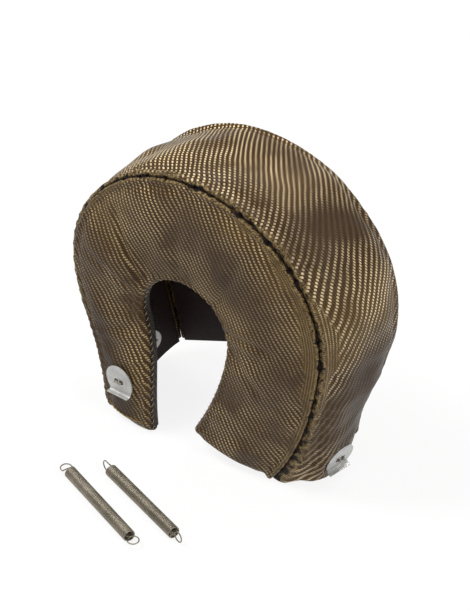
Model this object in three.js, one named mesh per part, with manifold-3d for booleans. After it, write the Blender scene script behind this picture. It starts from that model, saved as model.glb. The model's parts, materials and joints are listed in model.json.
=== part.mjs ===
// Turbocharger heat blanket: a hollow padded horseshoe of woven basalt cloth, with the hook discs it is
// laced by and the two extension springs that pull it shut.
// Millimetres, +Z up. The origin is on the turbine axis (along Y), halfway between the two cheeks.

import * as THREE from 'three';
import { mergeVertices } from 'three/addons/utils/BufferGeometryUtils.js';
import Module from 'manifold-3d';

const wasm = await Module();
wasm.setup();

// Shell
const SEAM_RADIUS = 102;
const SEAM_DEPTH = 78;
const SOLE_DROP = 125;
const PAD_THICKNESS = 10.5;
const CHEEK_PUFF = 7;
const BAND_PUFF = 7;
const BAND_SAG = 4;
const BAND_PULL = 8;
const BAND_PULL_AT = 0.4;
const BAND_BULGE = 6.5;
const BAND_BULGE_AT = 0.6;
const TOE_FLARE = 9;
const TOE_LEAN = 0.8;

// Cloth layers
const COVER_WALL = 1.5;
const LINING_WALL = 1;
const LAYER_GAP = 0.3;
const SEAM_GAP = 0.35;
const CORE_EASE = 0.8;
const THREAD_RADIUS = 0.7;

// Front cheek: the left leg ends square on its sole, the right leg ends in a toe that hooks inwards
const HOLE_RADIUS = 35;
const HOLE_OFFSET = 10;
const HOLE_DROP = 21;
const LONG_LEG_OUT = 78;
const LONG_LEG_IN = 34;
const TOE_OUT = 62;
const TOE_TIP = 4;
const TOE_TIP_RISE = 13;
const LEG_ROLL = 7;
const LEG_TUCK = 2;
const TOE_TUCK = 3;

// Rear cheek: the same pattern turned half round, set a little to the right, with its hooked leg drawn up
const REAR_SKEW = 9;
const REAR_LEG_OUT = 73;
const TUCKED_LEG_OUT = 81;
const TUCKED_LEG_IN = 20;
const TUCKED_RISE = 20;
const TUCKED_TIP_RISE = 43;

// Radial crease on the front cheek
const CREASE_DEPTH = 4;
const CREASE_AT = 0.375;

// Hook discs, staples and washers
const DISC_RADIUS = 12.3;
const DISC_WALL = 0.9;
const DISC_CHORD = 7.6;
const LIP_HEIGHT = 4.2;
const LIP_RADIUS = 1.6;
const STAPLE_WIRE = 1.3;
const STAPLE_SPAN = 5;
const STAPLE_CROWN = 0.5;
const STAPLE_CLINCH = 2.2;
const HOLE_CLEARANCE = 0.35;
const WASHER_RADIUS = 8;
const WASHER_WALL = 1;
const CHEEK_DISC_AT = 0.0815;
const BAND_DISC_RISE = 22.5;
const BAND_DISC_ACROSS = 0.4;

// Springs
const SPRING_OD = 9;
const SPRING_WIRE = 0.9;
const SPRING_BODY = 78;
const COIL_GAP = 0.04;
const LOOP_SWEEP = 305;
const NEAR_SPRING_LEFT = 16;
const NEAR_SPRING_FRONT = 90;
const FAR_SPRING_RIGHT = 6;
const FAR_SPRING_FRONT = 71;

// Mesh density: cells along a leg and over the arch, strips across a panel
const LEG_CELLS = 7;
const ARCH_CELLS = 16;
const STRIPS = 4;
const LOOP_STEPS = 12;
const COIL_STEPS = 5.5;

const RUN_CELLS = LEG_CELLS + ARCH_CELLS + LEG_CELLS;
const LEG_SHARE = LEG_CELLS / RUN_CELLS;
const HALF_DEPTH = SEAM_DEPTH / 2;
const { lerp, smoothstep, degToRad } = THREE.MathUtils;

// One edge of a cheek, run from the left foot over the arch to the right foot. Its run t goes 0 to 1,
// and the legs and the arch each take the same share of t on every edge.
class PanelEdge {
  constructor({ centre, radius, from, to, leftFoot, leftAim, rightFoot, rightAim }) {
    this.arch = new THREE.ArcCurve(centre.x, centre.y, radius, degToRad(from), degToRad(to), true);
    const rise = this.arch.getPoint(0);
    const fall = this.arch.getPoint(1);
    const riseHandle = this.arch.getTangent(0).multiplyScalar(rise.distanceTo(leftFoot) * 0.36);
    const fallHandle = this.arch.getTangent(1).multiplyScalar(fall.distanceTo(rightFoot) * 0.38);
    const leftKnee = leftFoot.clone().add(leftAim);
    const rightKnee = rightFoot.clone().add(rightAim);
    this.left = new THREE.CubicBezierCurve(leftFoot, leftKnee, rise.clone().sub(riseHandle), rise);
    this.right = new THREE.CubicBezierCurve(fall, fall.clone().add(fallHandle), rightKnee, rightFoot);
  }

  stretch(t) {
    if (t < LEG_SHARE) return [this.left, t / LEG_SHARE];
    if (t > 1 - LEG_SHARE) return [this.right, (t - 1 + LEG_SHARE) / LEG_SHARE];
    return [this.arch, (t - LEG_SHARE) / (1 - 2 * LEG_SHARE)];
  }

  point(t) {
    const [curve, share] = this.stretch(t);
    return curve.getPoint(share);
  }

  // Square to the edge over the arch, turning level towards the feet so that the soles end flat.
  outward(t) {
    const [curve, share] = this.stretch(t);
    const tangent = curve.getTangent(share);
    const normal = new THREE.Vector2(-tangent.y, tangent.x);
    const footness = curve === this.left ? 1 - share : curve === this.right ? share : 0;
    const level = new THREE.Vector2(curve === this.left ? -1 : 1, 0);
    return normal.lerp(level, smoothstep(footness, 0, 1)).normalize();
  }
}

const soleAt = (x, rise = 0) => new THREE.Vector2(x, rise - SOLE_DROP);

const frontSeam = new PanelEdge({
  centre: new THREE.Vector2(0, 0),
  radius: SEAM_RADIUS,
  from: 192,
  to: -6,
  leftFoot: soleAt(-LONG_LEG_OUT),
  leftAim: new THREE.Vector2(0, 35),
  rightFoot: soleAt(TOE_OUT),
  rightAim: new THREE.Vector2(20, 28),
});

const frontRim = new PanelEdge({
  centre: new THREE.Vector2(-HOLE_OFFSET, -HOLE_DROP),
  radius: HOLE_RADIUS,
  from: 195,
  to: -5,
  leftFoot: soleAt(-LONG_LEG_IN),
  leftAim: new THREE.Vector2(-3, 40),
  rightFoot: soleAt(-TOE_TIP, TOE_TIP_RISE),
  rightAim: new THREE.Vector2(10, 18),
});

const rearSeam = new PanelEdge({
  centre: new THREE.Vector2(REAR_SKEW, 0),
  radius: SEAM_RADIUS,
  from: 186,
  to: -12,
  leftFoot: soleAt(REAR_SKEW - TUCKED_LEG_OUT, TUCKED_RISE),
  leftAim: new THREE.Vector2(-8, 28),
  rightFoot: soleAt(REAR_SKEW + REAR_LEG_OUT),
  rightAim: new THREE.Vector2(0, 35),
});

const rearRim = new PanelEdge({
  centre: new THREE.Vector2(REAR_SKEW + HOLE_OFFSET, -HOLE_DROP),
  radius: HOLE_RADIUS,
  from: 185,
  to: -15,
  leftFoot: soleAt(REAR_SKEW - TUCKED_LEG_IN, TUCKED_TIP_RISE),
  leftAim: new THREE.Vector2(-4, 14),
  rightFoot: soleAt(REAR_SKEW + LONG_LEG_IN),
  rightAim: new THREE.Vector2(3, 40),
});

// Strips across a panel are narrow along both sewn edges, where the cloth falls steeply, and wide between.
const stripEdges = Array.from({ length: STRIPS + 1 }, (_, i) => (1 - Math.cos((Math.PI * i) / STRIPS)) / 2);
const bareEdges = [0, 1];

// A pillow's profile across a panel, straight over each strip so that every layer lies along the others. A
// lean makes it fuller towards v = 0.
function pillow(v, lean = 0) {
  const full = (u) => Math.pow(1 - Math.pow(Math.abs(2 * u - 1), 2.4), 0.8) * (1 + lean * (1 - 2 * u));
  const i = Math.min(STRIPS - 1, stripEdges.findLastIndex((edge) => edge <= v));
  const [from, to] = [stripEdges[i], stripEdges[i + 1]];
  return lerp(full(from), full(to), (v - from) / (to - from));
}

// How far up the left or right leg a place lies: 1 at the foot, 0 from the arch on.
const leftFootness = (t) => smoothstep(1 - t / LEG_SHARE, 0, 1);
const rightFootness = (t) => smoothstep((t - 1 + LEG_SHARE) / LEG_SHARE, 0, 1);

const bell = (x) => Math.exp(-x * x);

const frontPuff = (t, v) => {
  const across = (t - CREASE_AT + 0.035 * (v - 0.5)) * RUN_CELLS;
  const crease = bell(across) - 0.45 * bell(across + 1.8);
  const swell = 1 + 0.12 * Math.sin(t * 21) - 0.25 * (leftFootness(t) + rightFootness(t));
  return (CHEEK_PUFF * swell - CREASE_DEPTH * crease) * pillow(v);
};

const rearPuff = (t, v) => {
  const swell = 1 + 0.12 * Math.cos(t * 19) - 0.25 * (leftFootness(t) + rightFootness(t));
  return CHEEK_PUFF * swell * pillow(v);
};

const front = {
  side: -1,
  rim: frontRim,
  seam: frontSeam,
  puff: frontPuff,
  rimDepth: (t) => HALF_DEPTH + LEG_ROLL * leftFootness(t),
  seamDepth: (t) => HALF_DEPTH - LEG_TUCK * leftFootness(t) - TOE_TUCK * rightFootness(t),
};

const rear = {
  side: 1,
  rim: rearRim,
  seam: rearSeam,
  puff: rearPuff,
  rimDepth: () => HALF_DEPTH,
  seamDepth: () => HALF_DEPTH,
};

// A place in a cheek: t along the run, v from rim to seam, depth below the outer face. The wall's edge at
// the seam is mitred, and a puffed face carries the pillow shape.
function cheekPoint(cheek, t, v, depth, puffed) {
  const edge = cheek.seam.point(t).addScaledVector(cheek.seam.outward(t), -depth);
  const flat = cheek.rim.point(t).lerp(edge, v);
  const reach = lerp(cheek.rimDepth(t), cheek.seamDepth(t), v) + (puffed ? cheek.puff(t, v) : 0) - depth;
  return new THREE.Vector3(flat.x, cheek.side * reach, flat.y);
}

// How far the band's backing bows out: pulled flat at the upper left, full at the upper right and flared
// over the toe.
function bandSag(t) {
  const pull = BAND_PULL * bell((t - BAND_PULL_AT) / 0.11);
  const bulge = BAND_BULGE * bell((t - BAND_BULGE_AT) / 0.08);
  return BAND_SAG - pull + bulge + TOE_FLARE * Math.pow(rightFootness(t), 1.5);
}

// A place in the band: q from the front seam to the rear one.
function bandPoint(t, q, depth, puffed) {
  const outward = front.seam.outward(t).lerp(rear.seam.outward(t), q).normalize();
  const swell = BAND_PUFF * (1 + 0.14 * Math.sin(t * 27 + 1));
  const crown = pillow(q, TOE_LEAN * rightFootness(t));
  const bow = (bandSag(t) + (puffed ? swell : 0)) * crown - depth;
  const flat = front.seam.point(t).lerp(rear.seam.point(t), q).addScaledVector(outward, bow);
  const y = lerp(depth - front.seamDepth(t), rear.seamDepth(t) - depth, q);
  return new THREE.Vector3(flat.x, y, flat.y);
}

// Rings along the run, one at each station, with both end rings drawn in along the run by an inset.
function ringsAlong(ringAt, inset) {
  const rings = Array.from({ length: RUN_CELLS + 1 }, (_, i) => ringAt(i / RUN_CELLS));
  const drawIn = (ring, next) => ring.map((p, i) => p.add(next[i].clone().sub(p).setLength(inset)));
  drawIn(rings[0], rings[1]);
  drawIn(rings[RUN_CELLS], rings[RUN_CELLS - 1]);
  return rings;
}

// Closed solid through rings of points, all rings alike in count. Rings of two rows, an upper and a lower
// one, have their quads split the same way on both, so that stacked layers lie along each other.
function ringSolid(rings, upperCount = Infinity) {
  const count = rings[0].length;
  const last = (rings.length - 1) * count;
  const positions = rings.flatMap((ring) => ring.flatMap((p) => [p.x, p.y, p.z]));
  const index = [];
  for (let i = 0; i < last; i += count) {
    for (let j = 0; j < count; j++) {
      const [a, b] = [i + j, i + ((j + 1) % count)];
      if (j >= upperCount) index.push(a, b, a + count, b, b + count, a + count);
      else index.push(a, b, b + count, a, b + count, a + count);
    }
  }
  if (2 * upperCount === count) {
    for (let j = 0; j + 1 < upperCount; j++) {
      const far = count - 1 - j;
      index.push(j, far, far - 1, j, far - 1, j + 1);
      index.push(last + j, last + far - 1, last + far, last + j, last + j + 1, last + far - 1);
    }
  } else {
    for (let j = 1; j + 1 < count; j++) index.push(0, j + 1, j, last, last + j, last + j + 1);
  }
  const geometry = new THREE.BufferGeometry();
  geometry.setAttribute('position', new THREE.Float32BufferAttribute(positions, 3));
  geometry.setIndex(index);
  return faceOut(geometry);
}

function faceOut(geometry) {
  const p = geometry.attributes.position;
  const index = Array.from(geometry.index.array);
  const [a, b, c] = [new THREE.Vector3(), new THREE.Vector3(), new THREE.Vector3()];
  let volume = 0;
  for (let i = 0; i < index.length; i += 3) {
    a.fromBufferAttribute(p, index[i]);
    b.fromBufferAttribute(p, index[i + 1]);
    c.fromBufferAttribute(p, index[i + 2]);
    volume += a.dot(b.cross(c));
  }
  if (volume < 0) {
    for (let i = 0; i < index.length; i += 3) [index[i + 1], index[i + 2]] = [index[i + 2], index[i + 1]];
    geometry.setIndex(index);
  }
  return geometry;
}

// One padded layer of a panel between an upper and a lower face. A face that isn't bowed across the panel
// needs no strips.
function layerSolid(place, width, upper, lower, inset) {
  const ringAt = (t) => {
    const row = ({ depth, puffed, edges }) => {
      const stations = [inset.start / width(t), ...edges.slice(1, -1), 1 - inset.end / width(t)];
      return stations.map((v) => place(t, v, depth, puffed));
    };
    return [...row(upper), ...row(lower).reverse()];
  };
  return ringSolid(ringsAlong(ringAt, inset.foot), upper.edges.length);
}

function toManifold(geometry) {
  const bare = geometry.clone();
  for (const name of Object.keys(bare.attributes)) if (name !== 'position') bare.deleteAttribute(name);
  const merged = mergeVertices(bare, 1e-4);
  const mesh = new wasm.Mesh({
    numProp: 3,
    vertProperties: new Float32Array(merged.attributes.position.array),
    triVerts: new Uint32Array(merged.index.array),
  });
  return new wasm.Manifold(mesh);
}

function toGeometry(manifold) {
  const mesh = manifold.getMesh();
  const geometry = new THREE.BufferGeometry();
  geometry.setAttribute('position', new THREE.Float32BufferAttribute(mesh.vertProperties, 3));
  geometry.setIndex(Array.from(mesh.triVerts));
  return geometry;
}

// A panel's three layers: a cover sewn as a tray, the core that fills it and the lining that closes it.
function panelLayers(place, width, startIsSeam, backEdges) {
  const seamWall = COVER_WALL * Math.SQRT2 + SEAM_GAP;
  const startWall = startIsSeam ? seamWall : COVER_WALL;
  const outerEdge = { foot: 0, start: startIsSeam ? SEAM_GAP : 0, end: SEAM_GAP };
  const cavity = { foot: COVER_WALL, start: startWall, end: seamWall };
  const filling = {
    foot: COVER_WALL + CORE_EASE,
    start: startWall + (startIsSeam ? CORE_EASE : LAYER_GAP),
    end: seamWall + CORE_EASE,
  };
  const puffed = (depth) => ({ depth, puffed: true, edges: stripEdges });
  const backed = (depth) => ({ depth, puffed: false, edges: backEdges });
  const solid = (upper, lower, inset) => toManifold(layerSolid(place, width, upper, lower, inset));
  const tray = solid(puffed(0), backed(PAD_THICKNESS), outerEdge);
  return {
    cover: tray.subtract(solid(puffed(COVER_WALL), backed(PAD_THICKNESS + LINING_WALL), cavity)),
    core: solid(puffed(COVER_WALL + LAYER_GAP), backed(PAD_THICKNESS - LINING_WALL - LAYER_GAP), filling),
    lining: solid(backed(PAD_THICKNESS - LINING_WALL), backed(PAD_THICKNESS), filling),
  };
}

const cheekPlace = (cheek) => (t, v, d, p) => cheekPoint(cheek, t, v, d, p);
const cheekWidth = (cheek) => (t) => cheek.rim.point(t).distanceTo(cheek.seam.point(t));
const bandWidth = () => SEAM_DEPTH;

const panels = {
  front_cheek: panelLayers(cheekPlace(front), cheekWidth(front), false, bareEdges),
  rear_cheek: panelLayers(cheekPlace(rear), cheekWidth(rear), false, bareEdges),
  band: panelLayers(bandPoint, bandWidth, true, stripEdges),
};

// Round wire or thread along a line of points, its section carried without twist.
function wireSolid(points, radius, sides) {
  const tangents = points.map((p, i) =>
    points[Math.min(i + 1, points.length - 1)].clone().sub(points[Math.max(i - 1, 0)]).normalize(),
  );
  const across = new THREE.Vector3(0.31, 0.55, 0.78).cross(tangents[0]).normalize();
  const turn = new THREE.Quaternion();
  const rings = points.map((p, i) => {
    if (i > 0) across.applyQuaternion(turn.setFromUnitVectors(tangents[i - 1], tangents[i]));
    const other = tangents[i].clone().cross(across);
    return Array.from({ length: sides }, (_, j) => {
      const angle = (j / sides) * 2 * Math.PI;
      return p
        .clone()
        .addScaledVector(across, Math.cos(angle) * radius)
        .addScaledVector(other, Math.sin(angle) * radius);
    });
  });
  return ringSolid(rings);
}

// The thread in the groove of a seam, along the mitred corner of a cheek and the band.
function seamThread(cheek) {
  const reach = (THREAD_RADIUS + LAYER_GAP) / Math.SQRT2 + SEAM_GAP;
  const stitchAt = (t) => {
    const flat = cheek.seam.point(t).addScaledVector(cheek.seam.outward(t), reach);
    return [new THREE.Vector3(flat.x, cheek.side * (cheek.seamDepth(t) + reach), flat.y)];
  };
  return wireSolid(ringsAlong(stitchAt, COVER_WALL).flat(), THREAD_RADIUS, 3);
}

// The stitching that holds the turned edge of a hole, just off the rim.
function rimThread(cheek) {
  const stitchAt = (t) => {
    const flat = cheek.rim.point(t).addScaledVector(cheek.rim.outward(t), -(THREAD_RADIUS + LAYER_GAP));
    return [new THREE.Vector3(flat.x, cheek.side * (cheek.rimDepth(t) - PAD_THICKNESS / 2), flat.y)];
  };
  return wireSolid(ringsAlong(stitchAt, COVER_WALL).flat(), THREAD_RADIUS, 3);
}

// How far a panel's layer reaches out and in within a round column along the local Z of a frame.
function reachIn(layer, frame, radius) {
  const column = new THREE.CylinderGeometry(radius, radius, 8 * PAD_THICKNESS, 16);
  column.rotateX(Math.PI / 2);
  column.applyMatrix4(frame);
  const cut = toGeometry(layer.intersect(toManifold(column)));
  cut.applyMatrix4(frame.clone().invert());
  cut.computeBoundingBox();
  return cut.boundingBox;
}

// Where a disc sits: on the highest place of the cover under it, with the way down to the foot, and the wall
// that its staple passes to a washer on the lining.
function seatFrame(place, width, t, v, towardsFoot, layers) {
  const [dt, dv] = [DISC_RADIUS / (SOLE_DROP / LEG_SHARE), DISC_RADIUS / width(t)];
  const along = place(t + dt / 2, v, 0, true).sub(place(t - dt / 2, v, 0, true));
  const over = place(t, v + dv / 2, 0, true).sub(place(t, v - dv / 2, 0, true));
  const centre = place(t, v, 0, true);
  const outward = along.clone().cross(over).normalize();
  if (outward.dot(centre.clone().sub(place(t, v, PAD_THICKNESS, false))) < 0) outward.negate();
  const up = along.multiplyScalar(-towardsFoot).projectOnPlane(outward).normalize();
  const frame = new THREE.Matrix4().makeBasis(up.clone().cross(outward), up, outward).setPosition(centre);
  const top = reachIn(layers.cover, frame, DISC_RADIUS).max.z + LAYER_GAP;
  const bottom = reachIn(layers.lining, frame, WASHER_RADIUS).min.z - LAYER_GAP;
  return { frame: frame.setPosition(centre.addScaledVector(outward, top)), wall: top - bottom };
}

// Two bores for a staple's legs, from a height down by a length, about a plate's or a wall's local Z.
function legBores(top, length) {
  const radius = STAPLE_WIRE / 2 + HOLE_CLEARANCE;
  return [-1, 1].map((side) => {
    const bore = new THREE.CylinderGeometry(radius, radius, length, 6);
    bore.rotateX(Math.PI / 2);
    return bore.translate((side * STAPLE_SPAN) / 2, 0, top - length / 2);
  });
}

const bored = (plate, bores) => bores.reduce((left, bore) => left.subtract(toManifold(bore)), plate);

// A round plate, its lower segment cut on a chord and folded up into a hook lip.
function hookDisc() {
  const outline = new THREE.Shape();
  const cut = Math.asin(DISC_CHORD / DISC_RADIUS);
  outline.absarc(0, 0, DISC_RADIUS, -cut, Math.PI + cut, false);
  const pressed = { depth: DISC_WALL, bevelEnabled: false, curveSegments: 12 };
  const plate = new THREE.ExtrudeGeometry(outline, pressed);

  const bend = new THREE.Shape();
  const heel = LIP_RADIUS + DISC_WALL;
  bend.moveTo(-DISC_WALL, 0);
  bend.lineTo(0, 0);
  bend.absarc(0, heel, heel, -Math.PI / 2, 0, false);
  bend.lineTo(heel, LIP_HEIGHT);
  bend.lineTo(LIP_RADIUS, LIP_HEIGHT);
  bend.absarc(0, heel, LIP_RADIUS, 0, -Math.PI / 2, true);
  bend.lineTo(-DISC_WALL, DISC_WALL);
  const lipWidth = 2 * Math.sqrt(DISC_RADIUS ** 2 - DISC_CHORD ** 2) - DISC_WALL;
  const lip = new THREE.ExtrudeGeometry(bend, { depth: lipWidth, bevelEnabled: false, curveSegments: 3 });
  lip.translate(0, 0, -lipWidth / 2);
  lip.rotateX(Math.PI / 2);
  lip.rotateZ(-Math.PI / 2);
  lip.translate(0, -DISC_CHORD, 0);
  return bored(toManifold(plate).add(toManifold(lip)), legBores(2 * DISC_WALL, 3 * DISC_WALL));
}

// A wire staple: its crown bridges the two holes, its legs pass the wall and the washer and are clinched.
function staple(wall) {
  const half = STAPLE_SPAN / 2;
  const top = DISC_WALL + STAPLE_CROWN + STAPLE_WIRE / 2;
  const foot = -(wall + WASHER_WALL + LAYER_GAP + STAPLE_WIRE / 2);
  const side = (s) => [
    new THREE.Vector3(s * (half - STAPLE_CLINCH), 0, foot),
    new THREE.Vector3(s * (half - 0.4), 0, foot),
    new THREE.Vector3(s * half, 0, foot + 0.5),
    new THREE.Vector3(s * half, 0, top - 0.8),
    new THREE.Vector3(s * (half - 0.7), 0, top),
  ];
  return toManifold(wireSolid([...side(-1), ...side(1).reverse()], STAPLE_WIRE / 2, 6));
}

function backingWasher(wall) {
  const plate = new THREE.CylinderGeometry(WASHER_RADIUS, WASHER_RADIUS, WASHER_WALL, 14);
  plate.rotateX(Math.PI / 2);
  plate.translate(0, 0, -wall - WASHER_WALL / 2);
  return bored(toManifold(plate), legBores(WASHER_WALL - wall, 3 * WASHER_WALL));
}

// A close-wound extension spring along X with a full loop at each end, standing in the XZ plane.
function extensionSpring() {
  const coil = (SPRING_OD - SPRING_WIRE) / 2;
  const pitch = SPRING_WIRE + COIL_GAP;
  const turns = Math.round(SPRING_BODY / pitch);
  const length = turns * pitch;
  const body = Array.from({ length: turns * COIL_STEPS + 1 }, (_, k) => {
    const turn = k / COIL_STEPS;
    const angle = turn * 2 * Math.PI;
    return new THREE.Vector3(turn * pitch - length / 2, Math.sin(angle) * coil, Math.cos(angle) * coil);
  });
  const loop = (end) => {
    const centre = (length / 2 + coil + SPRING_WIRE / 2) * end;
    return Array.from({ length: LOOP_STEPS + 1 }, (_, k) => {
      const angle = degToRad(108 - (LOOP_SWEEP * k) / LOOP_STEPS);
      return new THREE.Vector3(centre + end * Math.cos(angle) * coil, 0, Math.sin(angle) * coil);
    });
  };
  return wireSolid([...loop(-1).reverse(), ...body, ...loop(1)], SPRING_WIRE / 2, 3);
}

const cloth = { color: 0x66503a, roughness: 0.55, metalness: 0.15 };
const liner = { color: 0x16130f, roughness: 0.9, metalness: 0 };
const fibre = { color: 0xd9d4c6, roughness: 1, metalness: 0 };
const thread = { color: 0x2c241b, roughness: 0.7, metalness: 0 };
const stainless = { color: 0xb9bcbd, roughness: 0.3, metalness: 1 };

const blanket = new THREE.Group();

function piece(parent, name, geometry, finish) {
  const mesh = new THREE.Mesh(geometry, new THREE.MeshStandardMaterial(finish));
  mesh.name = name;
  parent.add(mesh);
  return mesh;
}

// Each disc takes holes through the panel that it sits on.
const bandDiscAt = (BAND_DISC_RISE / SOLE_DROP) * LEG_SHARE;
const anchors = [
  ['front_left', 'front_cheek', cheekPlace(front), cheekWidth(front), CHEEK_DISC_AT, 0.5, -1],
  ['rear_right', 'rear_cheek', cheekPlace(rear), cheekWidth(rear), 1 - CHEEK_DISC_AT, 0.5, 1],
  ['band_right', 'band', bandPoint, bandWidth, 1 - bandDiscAt, BAND_DISC_ACROSS, 1],
  ['band_left', 'band', bandPoint, bandWidth, bandDiscAt, 1 - BAND_DISC_ACROSS, -1],
];

for (const [name, panel, place, width, t, v, towardsFoot] of anchors) {
  const seat = seatFrame(place, width, t, v, towardsFoot, panels[panel]);
  const bores = legBores(PAD_THICKNESS, seat.wall + 2 * PAD_THICKNESS);
  for (const bore of bores) bore.applyMatrix4(seat.frame);
  for (const layer of Object.keys(panels[panel])) panels[panel][layer] = bored(panels[panel][layer], bores);
  const anchor = new THREE.Group();
  anchor.applyMatrix4(seat.frame);
  piece(anchor, `${name}_hook_disc`, toGeometry(hookDisc()), stainless);
  piece(anchor, `${name}_staple`, toGeometry(staple(seat.wall)), stainless);
  piece(anchor, `${name}_washer`, toGeometry(backingWasher(seat.wall)), stainless);
  blanket.add(anchor);
}

for (const [panel, layers] of Object.entries(panels)) {
  piece(blanket, `${panel}_cover`, toGeometry(layers.cover), cloth);
  piece(blanket, `${panel}_core`, toGeometry(layers.core), fibre);
  piece(blanket, `${panel}_lining`, toGeometry(layers.lining), liner);
}

piece(blanket, 'front_seam_thread', seamThread(front), thread);
piece(blanket, 'rear_seam_thread', seamThread(rear), thread);
piece(blanket, 'front_rim_thread', rimThread(front), thread);
piece(blanket, 'rear_rim_thread', rimThread(rear), thread);

// The springs lie on the floor in front, side by side, rolled to different sides.
function layDown(name, x, y, heading, roll) {
  const spring = piece(blanket, name, extensionSpring(), stainless);
  spring.geometry.rotateX(degToRad(roll));
  spring.geometry.rotateZ(degToRad(heading));
  spring.geometry.computeBoundingBox();
  spring.position.set(x, y, -SOLE_DROP - spring.geometry.boundingBox.min.z);
}

layDown('spring_1', -NEAR_SPRING_LEFT, -HALF_DEPTH - NEAR_SPRING_FRONT, -21.5, 90);
layDown('spring_2', FAR_SPRING_RIGHT, -HALF_DEPTH - FAR_SPRING_FRONT, -19.5, 0);

export default blanket;
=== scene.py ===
"""Turbocharger heat blanket: a padded horseshoe of woven basalt cloth, its hook discs and its two springs."""

import json
import logging
from dataclasses import dataclass, field
from enum import Enum
from typing import Any, Optional, Sequence, Union

import bpy
import numpy as np
from mathutils import Matrix, Vector

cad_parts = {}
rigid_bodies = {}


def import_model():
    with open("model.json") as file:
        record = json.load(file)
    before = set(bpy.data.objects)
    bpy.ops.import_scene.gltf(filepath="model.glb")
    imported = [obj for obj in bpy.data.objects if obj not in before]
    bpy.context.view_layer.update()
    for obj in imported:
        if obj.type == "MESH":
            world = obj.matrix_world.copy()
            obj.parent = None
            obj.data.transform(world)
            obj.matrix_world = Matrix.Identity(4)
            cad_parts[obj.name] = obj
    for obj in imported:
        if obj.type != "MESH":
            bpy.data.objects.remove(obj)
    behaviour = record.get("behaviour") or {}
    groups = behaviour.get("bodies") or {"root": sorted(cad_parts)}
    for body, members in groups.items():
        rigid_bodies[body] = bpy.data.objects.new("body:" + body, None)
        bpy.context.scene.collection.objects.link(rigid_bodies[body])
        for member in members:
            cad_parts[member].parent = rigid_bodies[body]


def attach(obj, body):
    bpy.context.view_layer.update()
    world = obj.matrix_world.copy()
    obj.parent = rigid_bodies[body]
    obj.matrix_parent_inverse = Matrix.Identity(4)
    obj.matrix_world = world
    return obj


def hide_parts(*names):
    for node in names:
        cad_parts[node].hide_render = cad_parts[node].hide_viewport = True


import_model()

LOG = logging.getLogger("heat_blanket")
MM = 0.001
FLOAT_SLANT = 0.45
YARN_SLANT = 1.5
LEG_SHARE = 7 / 30
LEFT_PULL = 0.36
RIGHT_PULL = -0.38
LEG_TUCK = 2.0
TOE_TUCK = 3.0
PUFF = 7.0
PAD_THICKNESS = 10.5
COVER_BACK = PAD_THICKNESS - 1.3
CORE_BACK = PAD_THICKNESS - 2.4
LINING_FACE = PAD_THICKNESS - 1.1
LINING_BACK = PAD_THICKNESS - 0.2
SOLE_DROP = 125.0
HALF_DEPTH = 39.0

Array = np.ndarray
Socket = bpy.types.NodeSocket


# Shaders


class Value:
    """A number on a node socket. Python's operators on it add Math nodes."""

    def __init__(self, shader: "Shader", socket: Socket) -> None:
        """Wrap a socket of a shader's tree."""
        self.shader = shader
        self.socket = socket

    def __add__(self, other: "Number") -> "Value":
        """Sum."""
        return self.shader.math("ADD", self, other)

    __radd__ = __add__

    def __sub__(self, other: "Number") -> "Value":
        """Difference."""
        return self.shader.math("SUBTRACT", self, other)

    def __rsub__(self, other: "Number") -> "Value":
        """Difference with the number on the left."""
        return self.shader.math("SUBTRACT", other, self)

    def __mul__(self, other: "Number") -> "Value":
        """Product."""
        return self.shader.math("MULTIPLY", self, other)

    __rmul__ = __mul__

    def __truediv__(self, other: "Number") -> "Value":
        """Quotient."""
        return self.shader.math("DIVIDE", self, other)

    def __lt__(self, other: "Number") -> "Value":
        """1 where this is less, else 0."""
        return self.shader.math("LESS_THAN", self, other)

    def __abs__(self) -> "Value":
        """Size without its sign."""
        return self.shader.math("ABSOLUTE", self)

    def floor(self) -> "Value":
        """Whole part."""
        return self.shader.math("FLOOR", self)

    def modulo(self, base: float) -> "Value":
        """Remainder, never negative."""
        return self.shader.math("FLOORED_MODULO", self, base)

    def clamped(self) -> "Value":
        """Kept between 0 and 1."""
        return self.shader.math("MAXIMUM", self.shader.math("MINIMUM", self, 1.0), 0.0)

    def ramp(self, low: float, slope: float) -> "Value":
        """0 up to a low, then up to 1 on a slope."""
        return ((self - low) * slope).clamped()

    def centred(self) -> "Value":
        """How far past the middle of its own unit, from minus a half to a half."""
        return self - self.floor() - 0.5


Number = Union[Value, float]
Colour = tuple[float, float, float, float]


def rgb(red: float, green: float, blue: float) -> Colour:
    """Linear colour from a picture's 0 to 255 values."""
    parts = np.array([red, green, blue]) / 255
    linear = np.where(parts <= 0.04045, parts / 12.92, ((parts + 0.055) / 1.055) ** 2.4)
    return (float(linear[0]), float(linear[1]), float(linear[2]), 1.0)


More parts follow.
